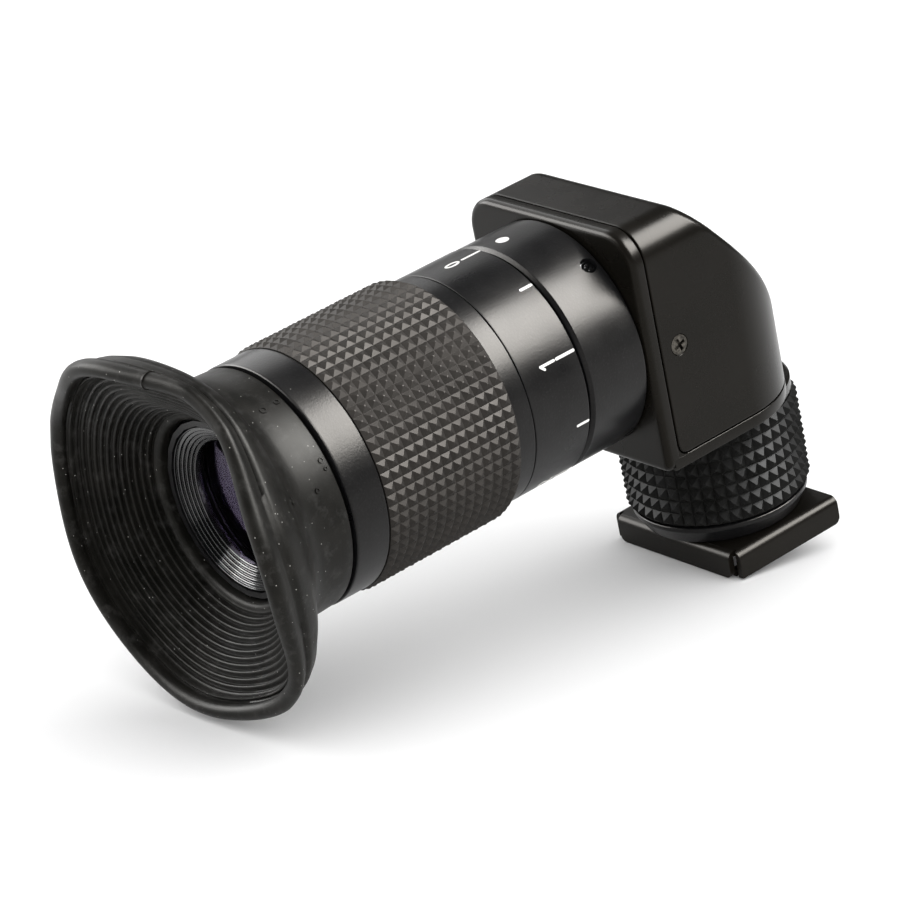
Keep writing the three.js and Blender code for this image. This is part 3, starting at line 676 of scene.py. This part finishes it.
def make_frame():
    # Each loop is an inset of the plate's outline, or a radius about the barrel axis, and its Y.
    loops = [(None, SPIGOT_RADIUS, PLATE_FRONT), (PLATE_EDGE + 0.25, 0, PLATE_FRONT)]
    loops += [(inset, 0, PLATE_FRONT + depth) for inset, depth in edge_steps(PLATE_EDGE, 5)]
    loops.append((0, 0, PLATE_FRONT + PLATE_EDGE + 0.15))
    loops += [(inset, 0, PLATE_REAR - depth) for inset, depth in edge_steps(PLATE_REAR_EDGE)[::-1]]
    loops += [(None, SPIGOT_BORE, PLATE_REAR), (None, SPIGOT_BORE, SPIGOT_FRONT)]
    loops.append((None, SPIGOT_RADIUS, SPIGOT_FRONT))
    points, faces = [], []
    for inset, radius, y in loops:
        for i in range(PLATE_SIDES):
            angle = 2 * math.pi * i / PLATE_SIDES
            reach = radius if inset is None else plate_reach(angle, inset)
            points.append(barrel_point(angle, reach, y))
    count = len(loops)
    for j in range(count):
        faces += band(j * PLATE_SIDES, ((j + 1) % count) * PLATE_SIDES, PLATE_SIDES)
    plate = new_object("frame_casting", points, faces)
    edge = COLLAR_EDGE
    outline = [(0, COLLAR_LOW), (COLLAR_RADIUS - edge, COLLAR_LOW)]
    outline.append((COLLAR_RADIUS - 0.3 * edge, COLLAR_LOW + 0.3 * edge))
    outline += [(COLLAR_RADIUS, COLLAR_LOW + edge), (COLLAR_RADIUS, RAIL_LOW - edge)]
    outline += [(COLLAR_RADIUS - edge, RAIL_LOW), (COLLAR_STEP, RAIL_LOW)]
    outline += [(COLLAR_STEP, RAIL_TOP), (0, RAIL_TOP)]
    collar = revolve("collar", outline, swivel_point, closed=False)
    outline = [(NECK_BORE, NECK_LOW), (NECK_RADIUS, NECK_LOW)]
    outline += [(NECK_RADIUS, NECK_TOP), (NECK_BORE, NECK_TOP)]
    neck = revolve("neck", outline, swivel_point)
    union(plate, make_rail(), collar)
    cut(plate, rod("bore", (0, 0, 0), UP, NECK_BORE, 15, NECK_ROOF, ROUND))
    cut(plate, rod("light", (0, 0, 0), UP, FLOOR_HOLE, 15, 30, ROUND))
    union(plate, neck)
    click = (0, centre_of("click_plug")[1], 0)
    union(plate, rod("post", click, UP, POST_RADIUS, POST_LOW, POST_TOP))
    cut(plate, rod("post_bore", click, UP, POST_BORE, 20, 30))
    for side, name in SIDES:
        _, y, z = centre_of(f"cover_screw_{name}")
        x = sorted(side * end for end in BOSS_X)
        union(plate, block("boss", x, BOSS_Y, (z - BOSS_HALF, z + BOSS_HALF)))
        cut(plate, rod("boss_bore", (0, y, z), (side, 0, 0), BOSS_BORE, 11, 15))
        foot = (*centre_of(f"prism_seat_screw_{name}")[:2], 0)
        cut(plate, rod("foot_bore", foot, UP, SEAT_SCREW_BORE, 22.5, 25))
    union(plate, *seam_fillets())
    finish_piece(plate, "housing", paint, ["housing_frame"])


def seam_fillets():
    """The casting's inner corners that the rounded corners of the cover's seam sit against."""
    radius = SEAM_CORNER + SEAM_GAP
    centre = (COVER_LOW.y + SEAM_CORNER, COVER_LOW.z + SEAM_CORNER)
    y, z = PLATE_REAR - 0.1, RAIL_TOP - 0.1  # a little inside the casting
    outline = [(y, centre[1]), (y, z), (centre[0], z), *arc(centre, radius, 180)[::-1]]
    outer, inner = HALF_WIDTH - 0.02, HALF_WIDTH - 1.4
    sides = (-outer, -inner), (inner, outer)
    return [prism("fillet", outline, lambda u, v, w: (w, u, v), *side) for side in sides]


def make_rail():
    """The floor of the casting, which shows as a thin rail below the cover."""
    edge = edge_steps(RAIL_EDGE)
    insets = [(inset, RAIL_LOW + depth) for inset, depth in edge]
    insets += [(inset, RAIL_TOP - depth) for inset, depth in edge[::-1]]
    x, y = HALF_WIDTH - CORNER_BACK, COVER_HIGH.y - CORNER_BACK
    front = PLATE_FRONT + 1.2  # inside the front plate
    loops = []
    for inset, z in insets:
        half, radius = HALF_WIDTH - inset, CORNER_BACK - inset
        outline = [(-half, front), (half, front)]
        outline += arc((x, y), radius, 0, steps=40) + arc((-x, y), radius, 90, steps=40)
        loops.append([(*corner, z) for corner in outline])
    return stack("rail", loops)


# ---- screws

COVER_SCREW_RADIUS = 1.35
SHOE_SCREW_RADIUS = 1.25
CONE_DEPTH = 0.75
CONE_FOOT = 0.55  # this and the next four are shares of the head's radius
SHANK_SHARE = 0.5
DOME_SHARE = 0.8
RECESS_REACH = 0.68
RECESS_HALF = 0.17
RECESS_DEPTH = 0.5
DOME_HEIGHT = 0.07
RECESS_TURNS = (22, 112)  # degrees
SET_SCREW_DEGREES = (39, 159, 279)
SET_SCREW_RADIUS = 1.0
SET_SCREW_FOOT = 14.2  # heights from the barrel axis
SET_SCREW_FACE = 15.35
SET_SCREW_SLOT = 15.1


def spoke(degrees):
    """The way out from the barrel axis, at an angle from the top."""
    return Vector((math.sin(math.radians(degrees)), 0, math.cos(math.radians(degrees))))


def slot_bar(foot, outward, degrees, reach, half, low, high):
    """A bar across a screw's axis, turned by degrees, to cut a slot with."""
    turn = outward.to_track_quat("Z", "Y")
    spin = math.radians(degrees)
    along = turn @ Vector((math.cos(spin), math.sin(spin), 0))
    sideways = turn @ Vector((-math.sin(spin), math.cos(spin), 0))

    def place(u, v, w):
        return foot + along * u + sideways * v + outward * w

    ends = [(-reach, -half), (reach, -half), (reach, half), (-reach, half)]
    return prism("slot", ends, place, low, high)


def cross_screw(name, node_name, body, outward, radius):
    """Countersunk screw with a cross recess, in the place of its node."""
    low, high = extent(node_name)
    outward = Vector(outward)
    depth = (high - low).dot(Vector([abs(c) for c in outward]))
    face = (low + high) / 2 + outward * (depth / 2)
    screw = rod(name, face, outward, CONE_FOOT * radius, -CONE_DEPTH, 0, end_radius=radius)
    dome = rod("dome", face, outward, radius, -0.02, DOME_HEIGHT, end_radius=DOME_SHARE * radius)
    union(screw, dome, rod("shank", face, outward, SHANK_SHARE * radius, -depth, -0.6))
    reach, half = RECESS_REACH * radius, RECESS_HALF * radius
    for degrees in RECESS_TURNS:
        cut(screw, slot_bar(face, outward, degrees, reach, half, -RECESS_DEPTH, RECESS_DEPTH))
    finish_piece(screw, body, screw_black, [node_name], bevel_mm=0.03)


def slotted_set_screw(name, degrees):
    """Headless screw, sunk in the fixed barrel."""
    outward = spoke(degrees)
    foot = Vector((0, centre_of(name)[1], AXIS_Z))
    screw = rod(f"{name}_slotted", foot, outward, SET_SCREW_RADIUS, SET_SCREW_FOOT, SET_SCREW_FACE)
    union(screw, rod("dome", foot, outward, 0.92, SET_SCREW_FACE - 0.05, 15.6, end_radius=0.5))
    cut(screw, slot_bar(foot, outward, 35, 1.3, 0.16, SET_SCREW_SLOT, 17))
    finish_piece(screw, "housing", gloss_black, [name], bevel_mm=0.06)


# ---- barrel and focusing ring

TAIL_RADIUS = 13.9
TAIL_BORE = 12.9
SHANK_RADIUS = 15.0
CHAMFER = 0.45  # of the fixed barrel's front edge
SCALE_TRAVEL = 0.64  # room for the scale ring when it is screwed fully in
SET_SCREW_HOLE = 1.16
GUIDE_HOLE = 0.95
SLEEVE_BORE = 14.15
BAND_BORE = 15.3
TUBE_RADIUS = 12.6
FLANGE_SETBACK = 1.15  # the sleeve's inner flange, behind the band's front
FLANGE_THICK = 3.0
RING_SEAM = 0.14  # between the scale ring and the sleeve
GRIP_SEAM = 0.1
GRIP_SEAT = SHANK_RADIUS + 0.6
GRIP_BORE = SHANK_RADIUS + 0.85
GRIP_DEPTH = 0.37
LOCK_DEPTH = 0.75


def turned(name, body, node_name, corners, place=barrel_point, holes=()):
    """A turned metal piece in the place of its node, with holes cut in it."""
    ring = cut(revolve(name, rounded(corners), place), *holes)
    finish_piece(ring, body, satin, [node_name])


def make_fixed_barrel():
    recess = SPIGOT_RADIUS + 0.3
    front = SCALE_REAR + SCALE_TRAVEL
    corners = [
        (recess, FIXED_REAR),
        (FIXED_RADIUS, FIXED_REAR, 0.25),
        (FIXED_RADIUS, front + CHAMFER, 0.06),
        (FIXED_RADIUS - CHAMFER, front, 0.06),
        (TAIL_RADIUS, front, 0.1),
        (TAIL_RADIUS, BARREL_TAIL, 0.2),
        (TAIL_BORE, BARREL_TAIL, 0.2),
        (TAIL_BORE, SPIGOT_FRONT - 0.5, 0.1),
        (recess, SPIGOT_FRONT - 0.5, 0.1),
    ]
    foot = (0, centre_of("barrel_set_screw_1")[1], AXIS_Z)
    holes = [rod("hole", foot, spoke(a), SET_SCREW_HOLE, 12.5, 18) for a in SET_SCREW_DEGREES]
    foot = (0, centre_of("guide_screw")[1], AXIS_Z)
    holes.append(rod("guide_hole", foot, (0, 0, -1), GUIDE_HOLE, 12, 18))
    turned("fixed_barrel_turned", "housing", "fixed_barrel", corners, holes=holes)


def make_scale_ring():
    bore = SHANK_RADIUS + 0.15
    corners = [(bore, SCALE_REAR), (SCALE_RADIUS, SCALE_REAR, 0.14)]
    corners += [(SCALE_RADIUS, SCALE_FRONT, 0.1), (bore, SCALE_FRONT)]
    turned("scale_ring_turned", "focus_ring", "scale_ring", corners)


def make_focus_sleeve():
    seam = SCALE_FRONT - RING_SEAM
    seat_rear, seat_front = GRIP_REAR + GRIP_SEAM, GRIP_FRONT - GRIP_SEAM
    flange_front = BAND_FRONT + FLANGE_SETBACK
    flange_rear = flange_front + FLANGE_THICK
    corners = [
        (SLEEVE_BORE, SLEEVE_REAR),
        (SHANK_RADIUS, SLEEVE_REAR),
        (SHANK_RADIUS, seam, 0.05),
        (SCALE_RADIUS, seam, 0.1),
        (SCALE_RADIUS, seat_rear, 0.2),
        (GRIP_SEAT, seat_rear, 0.05),
        (GRIP_SEAT, seat_front, 0.05),
        (BAND_RADIUS, seat_front, 0.22),
        (BAND_RADIUS, BAND_FRONT, 0.3),
        (BAND_BORE, BAND_FRONT, 0.2),
        (BAND_BORE, flange_front),
        (TUBE_RADIUS + 0.3, flange_front),
        (TUBE_RADIUS + 0.3, flange_rear),
        (SLEEVE_BORE, flange_rear),
    ]
    turned("focus_sleeve_turned", "focus_ring", "focus_sleeve", corners)


def make_grip():
    ring = knurled(
        "grip_sleeve", barrel_point, columns=69, rows=14, start=GRIP_FRONT, end=GRIP_REAR,
        valley=GRIP_RADIUS - GRIP_DEPTH, tip=GRIP_RADIUS, bore=GRIP_BORE, flat=0.06,
    )
    finish_piece(ring, "focus_ring", grip, ["focus_grip"], sharp=12)


def make_lock_ring():
    low, high = extent("lock_ring")
    ring = knurled(
        "lock_ring_knurled", swivel_point, columns=46, rows=7, start=low.z, end=high.z,
        valley=high.x - LOCK_DEPTH, tip=high.x, bore=NECK_RADIUS + 0.3, flat=0.05,
    )
    finish_piece(ring, "lock_ring", knurl, ["lock_ring"], sharp=12)


# ---- dioptre scale

TICK_STEP = 36  # degrees for half a dioptre
INDEX_DEGREES = -1.6  # the index dot and the zero, a little short of the top
STROKE = 0.4
DIGIT_STROKE = 0.36
LONG_TICK = 3.25
SHORT_TICK = 2.15
FILL_HEIGHT = 0.02  # how far the paint stands proud
FILL_DEPTH = 0.1
STROKE_STEP = 0.003  # how much thicker every second stroke of a numeral is
DIGIT_Y = -36.05
DOT_Y = -27.5
DOT_RADIUS = 0.9


def oval(half_width, half_height, centre, start, end):
    """An oval or part of one, in steps of 20 degrees clockwise from the top."""
    turns = [math.radians(degrees) for degrees in range(start, end + 1, 20)]
    return [(half_width * math.sin(a), centre + half_height * math.cos(a)) for a in turns]


NUMERALS = (
    oval(0.46, 1.0, 0, 0, 360),
    [(-0.5, 0.5), (0, 1.0), (0, -1.25)],
    [*oval(0.5, 0.5, 0.5, -80, 120), (-0.5, -1.0), (0.5, -1.0)],
)


def inlay(outline, radius, degrees, y, step=0.0):
    """A flat outline wrapped on the barrel: u runs against the angle and v towards the eye.
    step makes it a little thicker both ways, so that strokes that cross share no faces."""

    def place(u, v, w):
        return barrel_point(math.radians(degrees) - u / radius, w, y - v)

    return prism("inlay", outline, place, radius - FILL_DEPTH - step, radius + FILL_HEIGHT + step)


def stroke(start, end, width):
    """A straight stroke with round ends."""
    heading = math.degrees(math.atan2(end[1] - start[1], end[0] - start[0]))
    return arc(start, width / 2, heading + 90, 180) + arc(end, width / 2, heading + 270, 180)


def joined(name, parts):
    """Separate closed pieces of one finish as one object."""
    points, faces = [], []
    for part in parts:
        start = len(points)
        points += [v.co / MM for v in part.data.vertices]
        faces += [tuple(start + i for i in p.vertices) for p in part.data.polygons]
        bpy.data.objects.remove(part)
    return new_object(name, points, faces)


def make_scale():
    parts = []
    start = SCALE_REAR - 0.1 - STROKE / 2
    for k in range(-4, 5):
        degrees = INDEX_DEGREES + k * TICK_STEP
        whole = k % 2 == 0
        length = (LONG_TICK if whole else SHORT_TICK) - STROKE
        tick = stroke((0, 0), (0, length), STROKE)
        parts.append(inlay(tick, SCALE_RADIUS, degrees, start))
        if whole:
            line = NUMERALS[abs(k) // 2]
            for i, (a, b) in enumerate(zip(line, line[1:])):
                digit, step = stroke(a, b, DIGIT_STROKE), STROKE_STEP * (i % 2)
                parts.append(inlay(digit, SCALE_RADIUS, degrees, DIGIT_Y, step))
    finish_piece(joined("scale_marks", parts), "focus_ring", white_fill)
    dot = inlay(arc((0, 0), DOT_RADIUS, 0, 360, 32)[:-1], FIXED_RADIUS, INDEX_DEGREES, DOT_Y)
    dot.name = "index_dot"
    finish_piece(dot, "housing", white_fill)


# ---- eyecup and eyepiece

CUP_FLOOR = 12.5  # radius of the floor's edge
CUP_FLOOR_Y = -77.9
CUP_BORE = 15.3
CUP_RIM_Y = CUP_FRONT + 1.1
CUP_SIDES = 320
RIBS = 12
RIB_HEIGHT = 0.4
RIB_SAG = 0.9  # how far the ribbed inside bows out from a straight cone
RIB_START = (21.8, -85.0)
WAVE_START = math.radians(33)
WAVES = ((2, 0.27), (3, -1.04), (4, -0.75))  # times round, and how far the rim leans forward
WAVE_FOOT_Y = CUP_FLOOR_Y + 0.6
WAVE_FADE = 1.4
RIM_MIDDLE = 85  # how far in front of the swivel axis the rim's middle is
RIM_FIT = (25.8, -1.62, 0.43)  # the rim's radius, by how far it is in front of its middle
FLAT_SIDE = (0.55, 230, 32)  # a flatter stretch of the rim: depth, degrees and width in degrees
# Small mould marks on the outside of the cup: degrees, Y and radius.
NUBS = (
    (30, -74.3, 0.45), (29, -72.0, 0.38), (61, -71.8, 0.34),
    (65, -71.7, 0.26), (71.5, -74.1, 0.32), (69.5, -79.2, 0.5),
)
NUB_HEIGHT = 0.17
MOULD_LINE_HALF = 0.13
MOULD_LINE_DEGREES = 10  # where a short raised line crosses the lip
BEAD_RADIUS = 1.12
BEAD_CENTRE = (23.55, CUP_RIM_Y + 0.1)
BEAD_START = 35  # degrees, and how far round it goes
BEAD_TURN = -240
CUP_OUTSIDE = [
    (CUP_BORE, CUP_REAR), (16.35, CUP_REAR), (16.46, CUP_REAR - 0.06), (16.5, CUP_REAR - 0.2),
    (16.58, -72.6), (16.66, -74.4), (16.85, -76.0), (17.3, -77.3),
    (18.3, -78.6), (19.9, -79.8), (21.8, -81.0), (23.1, -82.3),
    (23.8, -83.7), (23.95, -84.3), (23.72, -84.75), (24.05, -85.2),
]


def rim_wave(angle):
    """How far the soft rim leans forward, and its radius, as it goes round."""
    forward = sum(lean * math.cos(times * (angle - WAVE_START)) for times, lean in WAVES)
    beyond = forward - CUP_RIM_Y - RIM_MIDDLE
    radius = RIM_FIT[0] + RIM_FIT[1] * beyond + RIM_FIT[2] * beyond * beyond
    depth, degrees, width = FLAT_SIDE
    flat_side = depth * math.exp(-(((math.degrees(angle) - degrees) / width) ** 2))
    return forward, min(radius, CUP_RADIUS + 0.7) - flat_side


def cup_point(angle, radius, y):
    """The rim's wave fades out towards the cup's base."""
    forward, rim = rim_wave(angle)
    share = max(0.0, (WAVE_FOOT_Y - y) / (WAVE_FOOT_Y - CUP_RIM_Y))
    weight = min(share**WAVE_FADE, 1.1)
    grown = radius * (1 + weight * (rim / CUP_RADIUS - 1))
    return barrel_point(angle, grown, y - weight * forward)


def cup_outline():
    bead = arc(BEAD_CENTRE, BEAD_RADIUS, BEAD_START, BEAD_TURN, 14)
    ridge = [(22.3, -85.75), (22.18, -86.0), (22.0, -86.02), (21.88, -85.8), (21.86, -85.4)]
    start, end = np.array(RIB_START), np.array((CUP_FLOOR + 0.9, CUP_FLOOR_Y - 0.4))
    run = end - start
    inward = np.array((run[1], -run[0])) / np.linalg.norm(run)
    ribs = []
    steps = 10 * RIBS
    for k in range(steps + 1):
        t = k / steps
        crest = RIB_HEIGHT * math.sin(math.pi * (t * RIBS % 1)) ** 3
        sag = RIB_SAG * math.sin(math.pi * t)
        ribs.append(tuple(start + run * t + inward * (crest - sag)))
    floor = [
        (CUP_FLOOR + 0.62, CUP_FLOOR_Y - 0.42), (CUP_FLOOR + 0.2, CUP_FLOOR_Y - 0.22),
        (CUP_FLOOR, CUP_FLOOR_Y + 0.1), (CUP_FLOOR, -76.3),
        (CUP_FLOOR + 0.2, -76.05), (CUP_BORE, -76.05),
    ]
    return CUP_OUTSIDE + bead + ridge + ribs + floor


def make_eyecup():
    cup = revolve("eyecup_rubber_cup", cup_outline(), cup_point, CUP_SIDES)
    finish_piece(cup, "eyecup", rubber, ["eyecup"], sharp=60)
    marks = []
    for degrees, y, size in NUBS:
        angle = math.radians(degrees)
        foot, outward = cup_side(angle, y)
        nub = rod("nub", foot, outward, size * 1.25, -0.25, NUB_HEIGHT, 24, end_radius=size)
        dimple = rod("dimple", foot, outward, size * 0.55, 0.05, 0.3, 24, end_radius=size * 0.8)
        marks.append(cut(nub, dimple))
    angle = math.radians(MOULD_LINE_DEGREES)
    centre = Vector(cup_point(angle, *BEAD_CENTRE))
    along = (math.cos(angle), 0, -math.sin(angle))
    half = MOULD_LINE_HALF
    marks.append(rod("line", centre, along, BEAD_RADIUS + half, -half, half, 32))
    finish_piece(joined("eyecup_marks", marks), "eyecup", rubber, sharp=60)


def cup_side(angle, y):
    """A point on the outside of the cup, and the way the surface faces there."""
    for start, end in zip(CUP_OUTSIDE[3:], CUP_OUTSIDE[4:]):
        if end[1] <= y:
            break
    share = (y - start[1]) / (end[1] - start[1])
    radius = start[0] + share * (end[0] - start[0])
    out, back = start[1] - end[1], end[0] - start[0]
    outward = Vector((out * math.sin(angle), back, out * math.cos(angle)))
    return Vector(cup_point(angle, radius, y)), outward.normalized()


def make_lens_ring():
    """Screwed in over the eye lens; its mouth widens in fine bright-edged steps."""
    radius, rear, front = barrel_ring("eye_lens_ring")
    steps, width, height = 5, 0.46, 0.3
    mouth = radius - 0.15
    outline = [(radius, rear, 0.05), (radius, front, 0.12), (mouth, front, 0.08)]
    for k in range(steps):
        outline.append((mouth - width * k, front + height * (k + 1), 0.04))
        outline.append((mouth - width * (k + 1), front + height * (k + 1), 0.14))
    bore = mouth - width * steps
    outline += [(bore, front + height * steps + 0.7, 0.1), (bore + 0.5, rear, 0.05)]
    ring = revolve("eye_lens_ring_stepped", rounded(outline))
    finish_piece(ring, "eyepiece", gloss_black, ["eye_lens_ring"])


def make_lens(node_name, body, place, rear_crown, front_crown):
    """A smooth biconvex lens of its node's outer size."""
    low, high = extent(node_name)
    radius = (high.x - low.x) / 2
    ends, forward = ((high.y, low.y), -1) if place is barrel_point else ((low.z, high.z), 1)
    rear_edge, front_edge = ends[0] + forward * rear_crown, ends[1] - forward * front_crown
    shares = [k / 16 for k in range(17)]
    outline = [(radius * s, ends[0] + forward * rear_crown * s * s) for s in shares]
    outline.append((radius, (rear_edge + front_edge) / 2))
    outline += [(radius * s, ends[1] - forward * front_crown * s * s) for s in shares[::-1]]
    lens = revolve(f"{node_name}_ground", outline, place, 96, closed=False)
    finish_piece(lens, body, coated_glass, [node_name])


# ---- shoe and swivel

SHEET_THICK = 0.9
BEND_RADIUS = 1.15
LIP_WIDTH = 1.5
FLANGE_CORNER = 1.0
RELIEF = 0.5
LIGHT_HOLE = 7.9
SHOE_SCREW_HOLE = 0.85
SHOE_SINK = 1.65
SKIRT_BORE = 7.75
SKIRT_FLARE = 1.3  # how much wider the skirt is at the top than at the foot
SPINDLE_BORE = 6.6
SPINDLE_RADIUS = 7.6
SPINDLE_HEAD = 1.5


def make_shoe():
    half, height = SHOE_HIGH.x, SHOE_HIGH.z
    front, rear = SHOE_LOW.y, SHOE_HIGH.y
    thick, bend = SHEET_THICK, BEND_RADIUS
    lip = half - thick - LIP_WIDTH
    inner = bend - thick
    outline = arc((half - bend, height - bend), bend, 0)
    outline += arc((-half + bend, height - bend), bend, 90)
    outline += [(-half, 0), (-lip, 0), (-lip, thick), (-half + thick, thick)]
    outline += arc((-half + thick + inner, height - thick - inner), inner, 90, steps=3)[::-1]
    outline += arc((half - thick - inner, height - thick - inner), inner, 0, steps=3)[::-1]
    outline += [(half - thick, thick), (lip, thick), (lip, 0), (half, 0)]
    channel = prism("shoe_sheet_bent", outline, lambda u, v, w: (u, w, v), front + thick, rear)
    corner = FLANGE_CORNER
    sides = [(front, height + 1), (front, -1), (front + 2, -1), (front + 2, 0)]
    sides += arc((rear - corner, corner), corner, 270) + [(rear, height + 1)]
    ends = prism("end_round", sides, lambda u, v, w: (w, u, v), -half - 1, half + 1)
    combine(channel, ends, "INTERSECT")
    flange = [(front + thick, 0), (front + thick, height - thick)]
    flange += [(front + thick + 0.9, height - thick), (front + thick + 0.9, height)]
    flange += arc((front + bend, height - bend), bend, 90) + [(front, 0)]
    reach = half - thick - RELIEF
    front_flange = prism("flange", flange, lambda u, v, w: (w, u, v), -reach, reach)
    face = [(-reach, height + 1)] + arc((-reach + corner, corner), corner, 180)
    face += arc((reach - corner, corner), corner, 270) + [(reach, height + 1)]
    ends = prism("corner_round", face, lambda u, v, w: (u, w, v), front - 1, front + 5)
    combine(front_flange, ends, "INTERSECT")
    union(channel, front_flange)
    for side in (1, -1):
        x = sorted((side * reach, side * (reach + RELIEF)))
        y = (front + thick - 1, front + thick + RELIEF)
        cut(channel, block("relief", x, y, (-1, height + 1)))
    cut(channel, rod("light_hole", (0, 0, 0), UP, LIGHT_HOLE, 1, 5, 96))
    sink = height - thick - 0.05, height - 0.25
    for k in range(1, 5):
        place = (*centre_of(f"shoe_screw_{k}")[:2], 0)
        cut(channel, rod("screw_hole", place, UP, SHOE_SCREW_HOLE, 2, 5))
        cut(channel, rod("sink", place, UP, SHOE_SINK, *sink, end_radius=SHOE_SCREW_HOLE))
    finish_piece(channel, "shoe", sheet, ["shoe_plate"], bevel_mm=0.1)


def make_skirt():
    low, high = extent("base_skirt")
    top = high.z
    corners = [(SKIRT_BORE, low.z), (high.x - SKIRT_FLARE, low.z, 0.1), (high.x, top - 0.6, 0.5)]
    corners += [(high.x, top, 0.2), (SKIRT_BORE, top)]
    turned("base_skirt_turned", "shoe", "base_skirt", corners, swivel_point)


def make_spindle():
    low, high = extent("swivel_spindle")
    head = high.z - SPINDLE_HEAD
    corners = [(SPINDLE_BORE, low.z, 0.12), (SPINDLE_RADIUS, low.z, 0.15), (SPINDLE_RADIUS, head)]
    corners += [(high.x, head), (high.x, high.z), (SPINDLE_BORE, high.z)]
    turned("spindle_turned", "shoe", "swivel_spindle", corners, swivel_point)


# ---- carried-over nodes


def finish_cad_nodes():
    for part in frame["record"]["subparts"]:
        piece = frame["nodes"][part["node"]]
        shade(piece, CAD_FINISH[part["material_slot"]], 30)


# ---- floor and lights

FLOOR_SIZE = 4.0  # metres from the middle to each side
FLOOR_GAP = 0.0001  # metres
RIM_SAG = 0.15  # how far the rim's wave reaches below the cup's round
WORLD_STRENGTH = 0.12
OVERHEAD_DEGREES = 155
OVERHEAD_STRENGTH = 4.6
OVERHEAD_DIRECTION = (0.32, 0.16, 0.9)
# Soft boxes: direction, width and height in metres, and radiance.
SOFT_BOXES = {
    "key": ((0.54, 0.52, 0.66), (0.7, 0.65), 50.0),
    "front": ((-0.36, -0.64, 0.66), (0.6, 0.25), 10.0),
    "left": ((-0.82, -0.15, 0.5), (1.7, 0.9), 3.0),
    "low left": ((-0.72, -0.5, 0.42), (0.7, 0.5), 16.0),
}


def make_floor():
    """A sheet of paper under the two things that touch it: the shoe's front edge and the rim."""
    foot = Vector((0, SHOE_LOW.y, 0)) * MM
    rim = Vector((0, CUP_FRONT, AXIS_Z - CUP_RADIUS - RIM_SAG)) * MM
    run = (foot - rim).normalized()
    right = Vector((1, 0, 0))
    drop = right.cross(run) * FLOOR_GAP
    points = []
    for x, y in ((-1, -1), (1, -1), (1, 1), (-1, 1)):
        points.append((foot + right * x * FLOOR_SIZE + run * y * FLOOR_SIZE - drop) / MM)
    floor = new_object("floor", points, [(0, 1, 2, 3)])
    floor.data.materials.append(paper_floor())


def area_light(name, direction, size, radiance):
    """A soft box one metre off, seen only in reflections. size is in metres, radiance in watts
    per square metre and steradian."""
    data = bpy.data.lights.new(name, "AREA")
    data.shape = "RECTANGLE"
    data.size, data.size_y = size
    data.energy = radiance * math.pi * size[0] * size[1]
    lamp = add_object(name, data)
    lamp.visible_diffuse = False
    direction = Vector(direction).normalized()
    turn = direction.to_track_quat("Z", "Y").to_matrix().to_4x4()
    lamp.matrix_world = Matrix.Translation(Vector((0, -0.03, 0.04)) + direction) @ turn


def make_light():
    """A dim room, and soft boxes that show in the gloss: a key behind on the right, one high in
    front and two on the left. The overhead light has no reflection and lights the rest."""
    world = bpy.data.worlds.new("studio")
    world.use_nodes = True
    background = world.node_tree.nodes["Background"]
    background.inputs["Color"].default_value = (1, 1, 1, 1)
    background.inputs["Strength"].default_value = WORLD_STRENGTH
    bpy.context.scene.world = world
    for name, settings in SOFT_BOXES.items():
        area_light(name, *settings)
    data = bpy.data.lights.new("overhead", "SUN")
    data.angle = math.radians(OVERHEAD_DEGREES)
    data.energy = OVERHEAD_STRENGTH
    overhead = add_object("overhead", data)
    overhead.visible_glossy = False
    turn = Vector(OVERHEAD_DIRECTION).to_track_quat("Z", "Y")
    overhead.matrix_world = turn.to_matrix().to_4x4()
    bpy.context.scene.view_settings.view_transform = "Standard"


# ---- assembly

make_camera()
finish_cad_nodes()
make_cover()
make_frame()
for side, where in SIDES:
    node_name = f"cover_screw_{where}"
    cross_screw(f"cross_screw_{where}", node_name, "housing", (side, 0, 0), COVER_SCREW_RADIUS)
for k in range(1, 5):
    node_name = f"shoe_screw_{k}"
    cross_screw(f"shoe_cross_screw_{k}", node_name, "shoe", (0, 0, -1), SHOE_SCREW_RADIUS)
for k, degrees in enumerate(SET_SCREW_DEGREES):
    slotted_set_screw(f"barrel_set_screw_{k + 1}", degrees)
make_fixed_barrel()
make_scale_ring()
make_focus_sleeve()
make_grip()
make_lock_ring()
make_scale()
make_eyecup()
make_lens_ring()
make_lens("eye_lens", "eyepiece", barrel_point, rear_crown=0.5, front_crown=2.0)
make_lens("objective_lens", "shoe", swivel_point, rear_crown=0.7, front_crown=0.9)
make_shoe()
make_skirt()
make_spindle()
make_floor()
make_light()
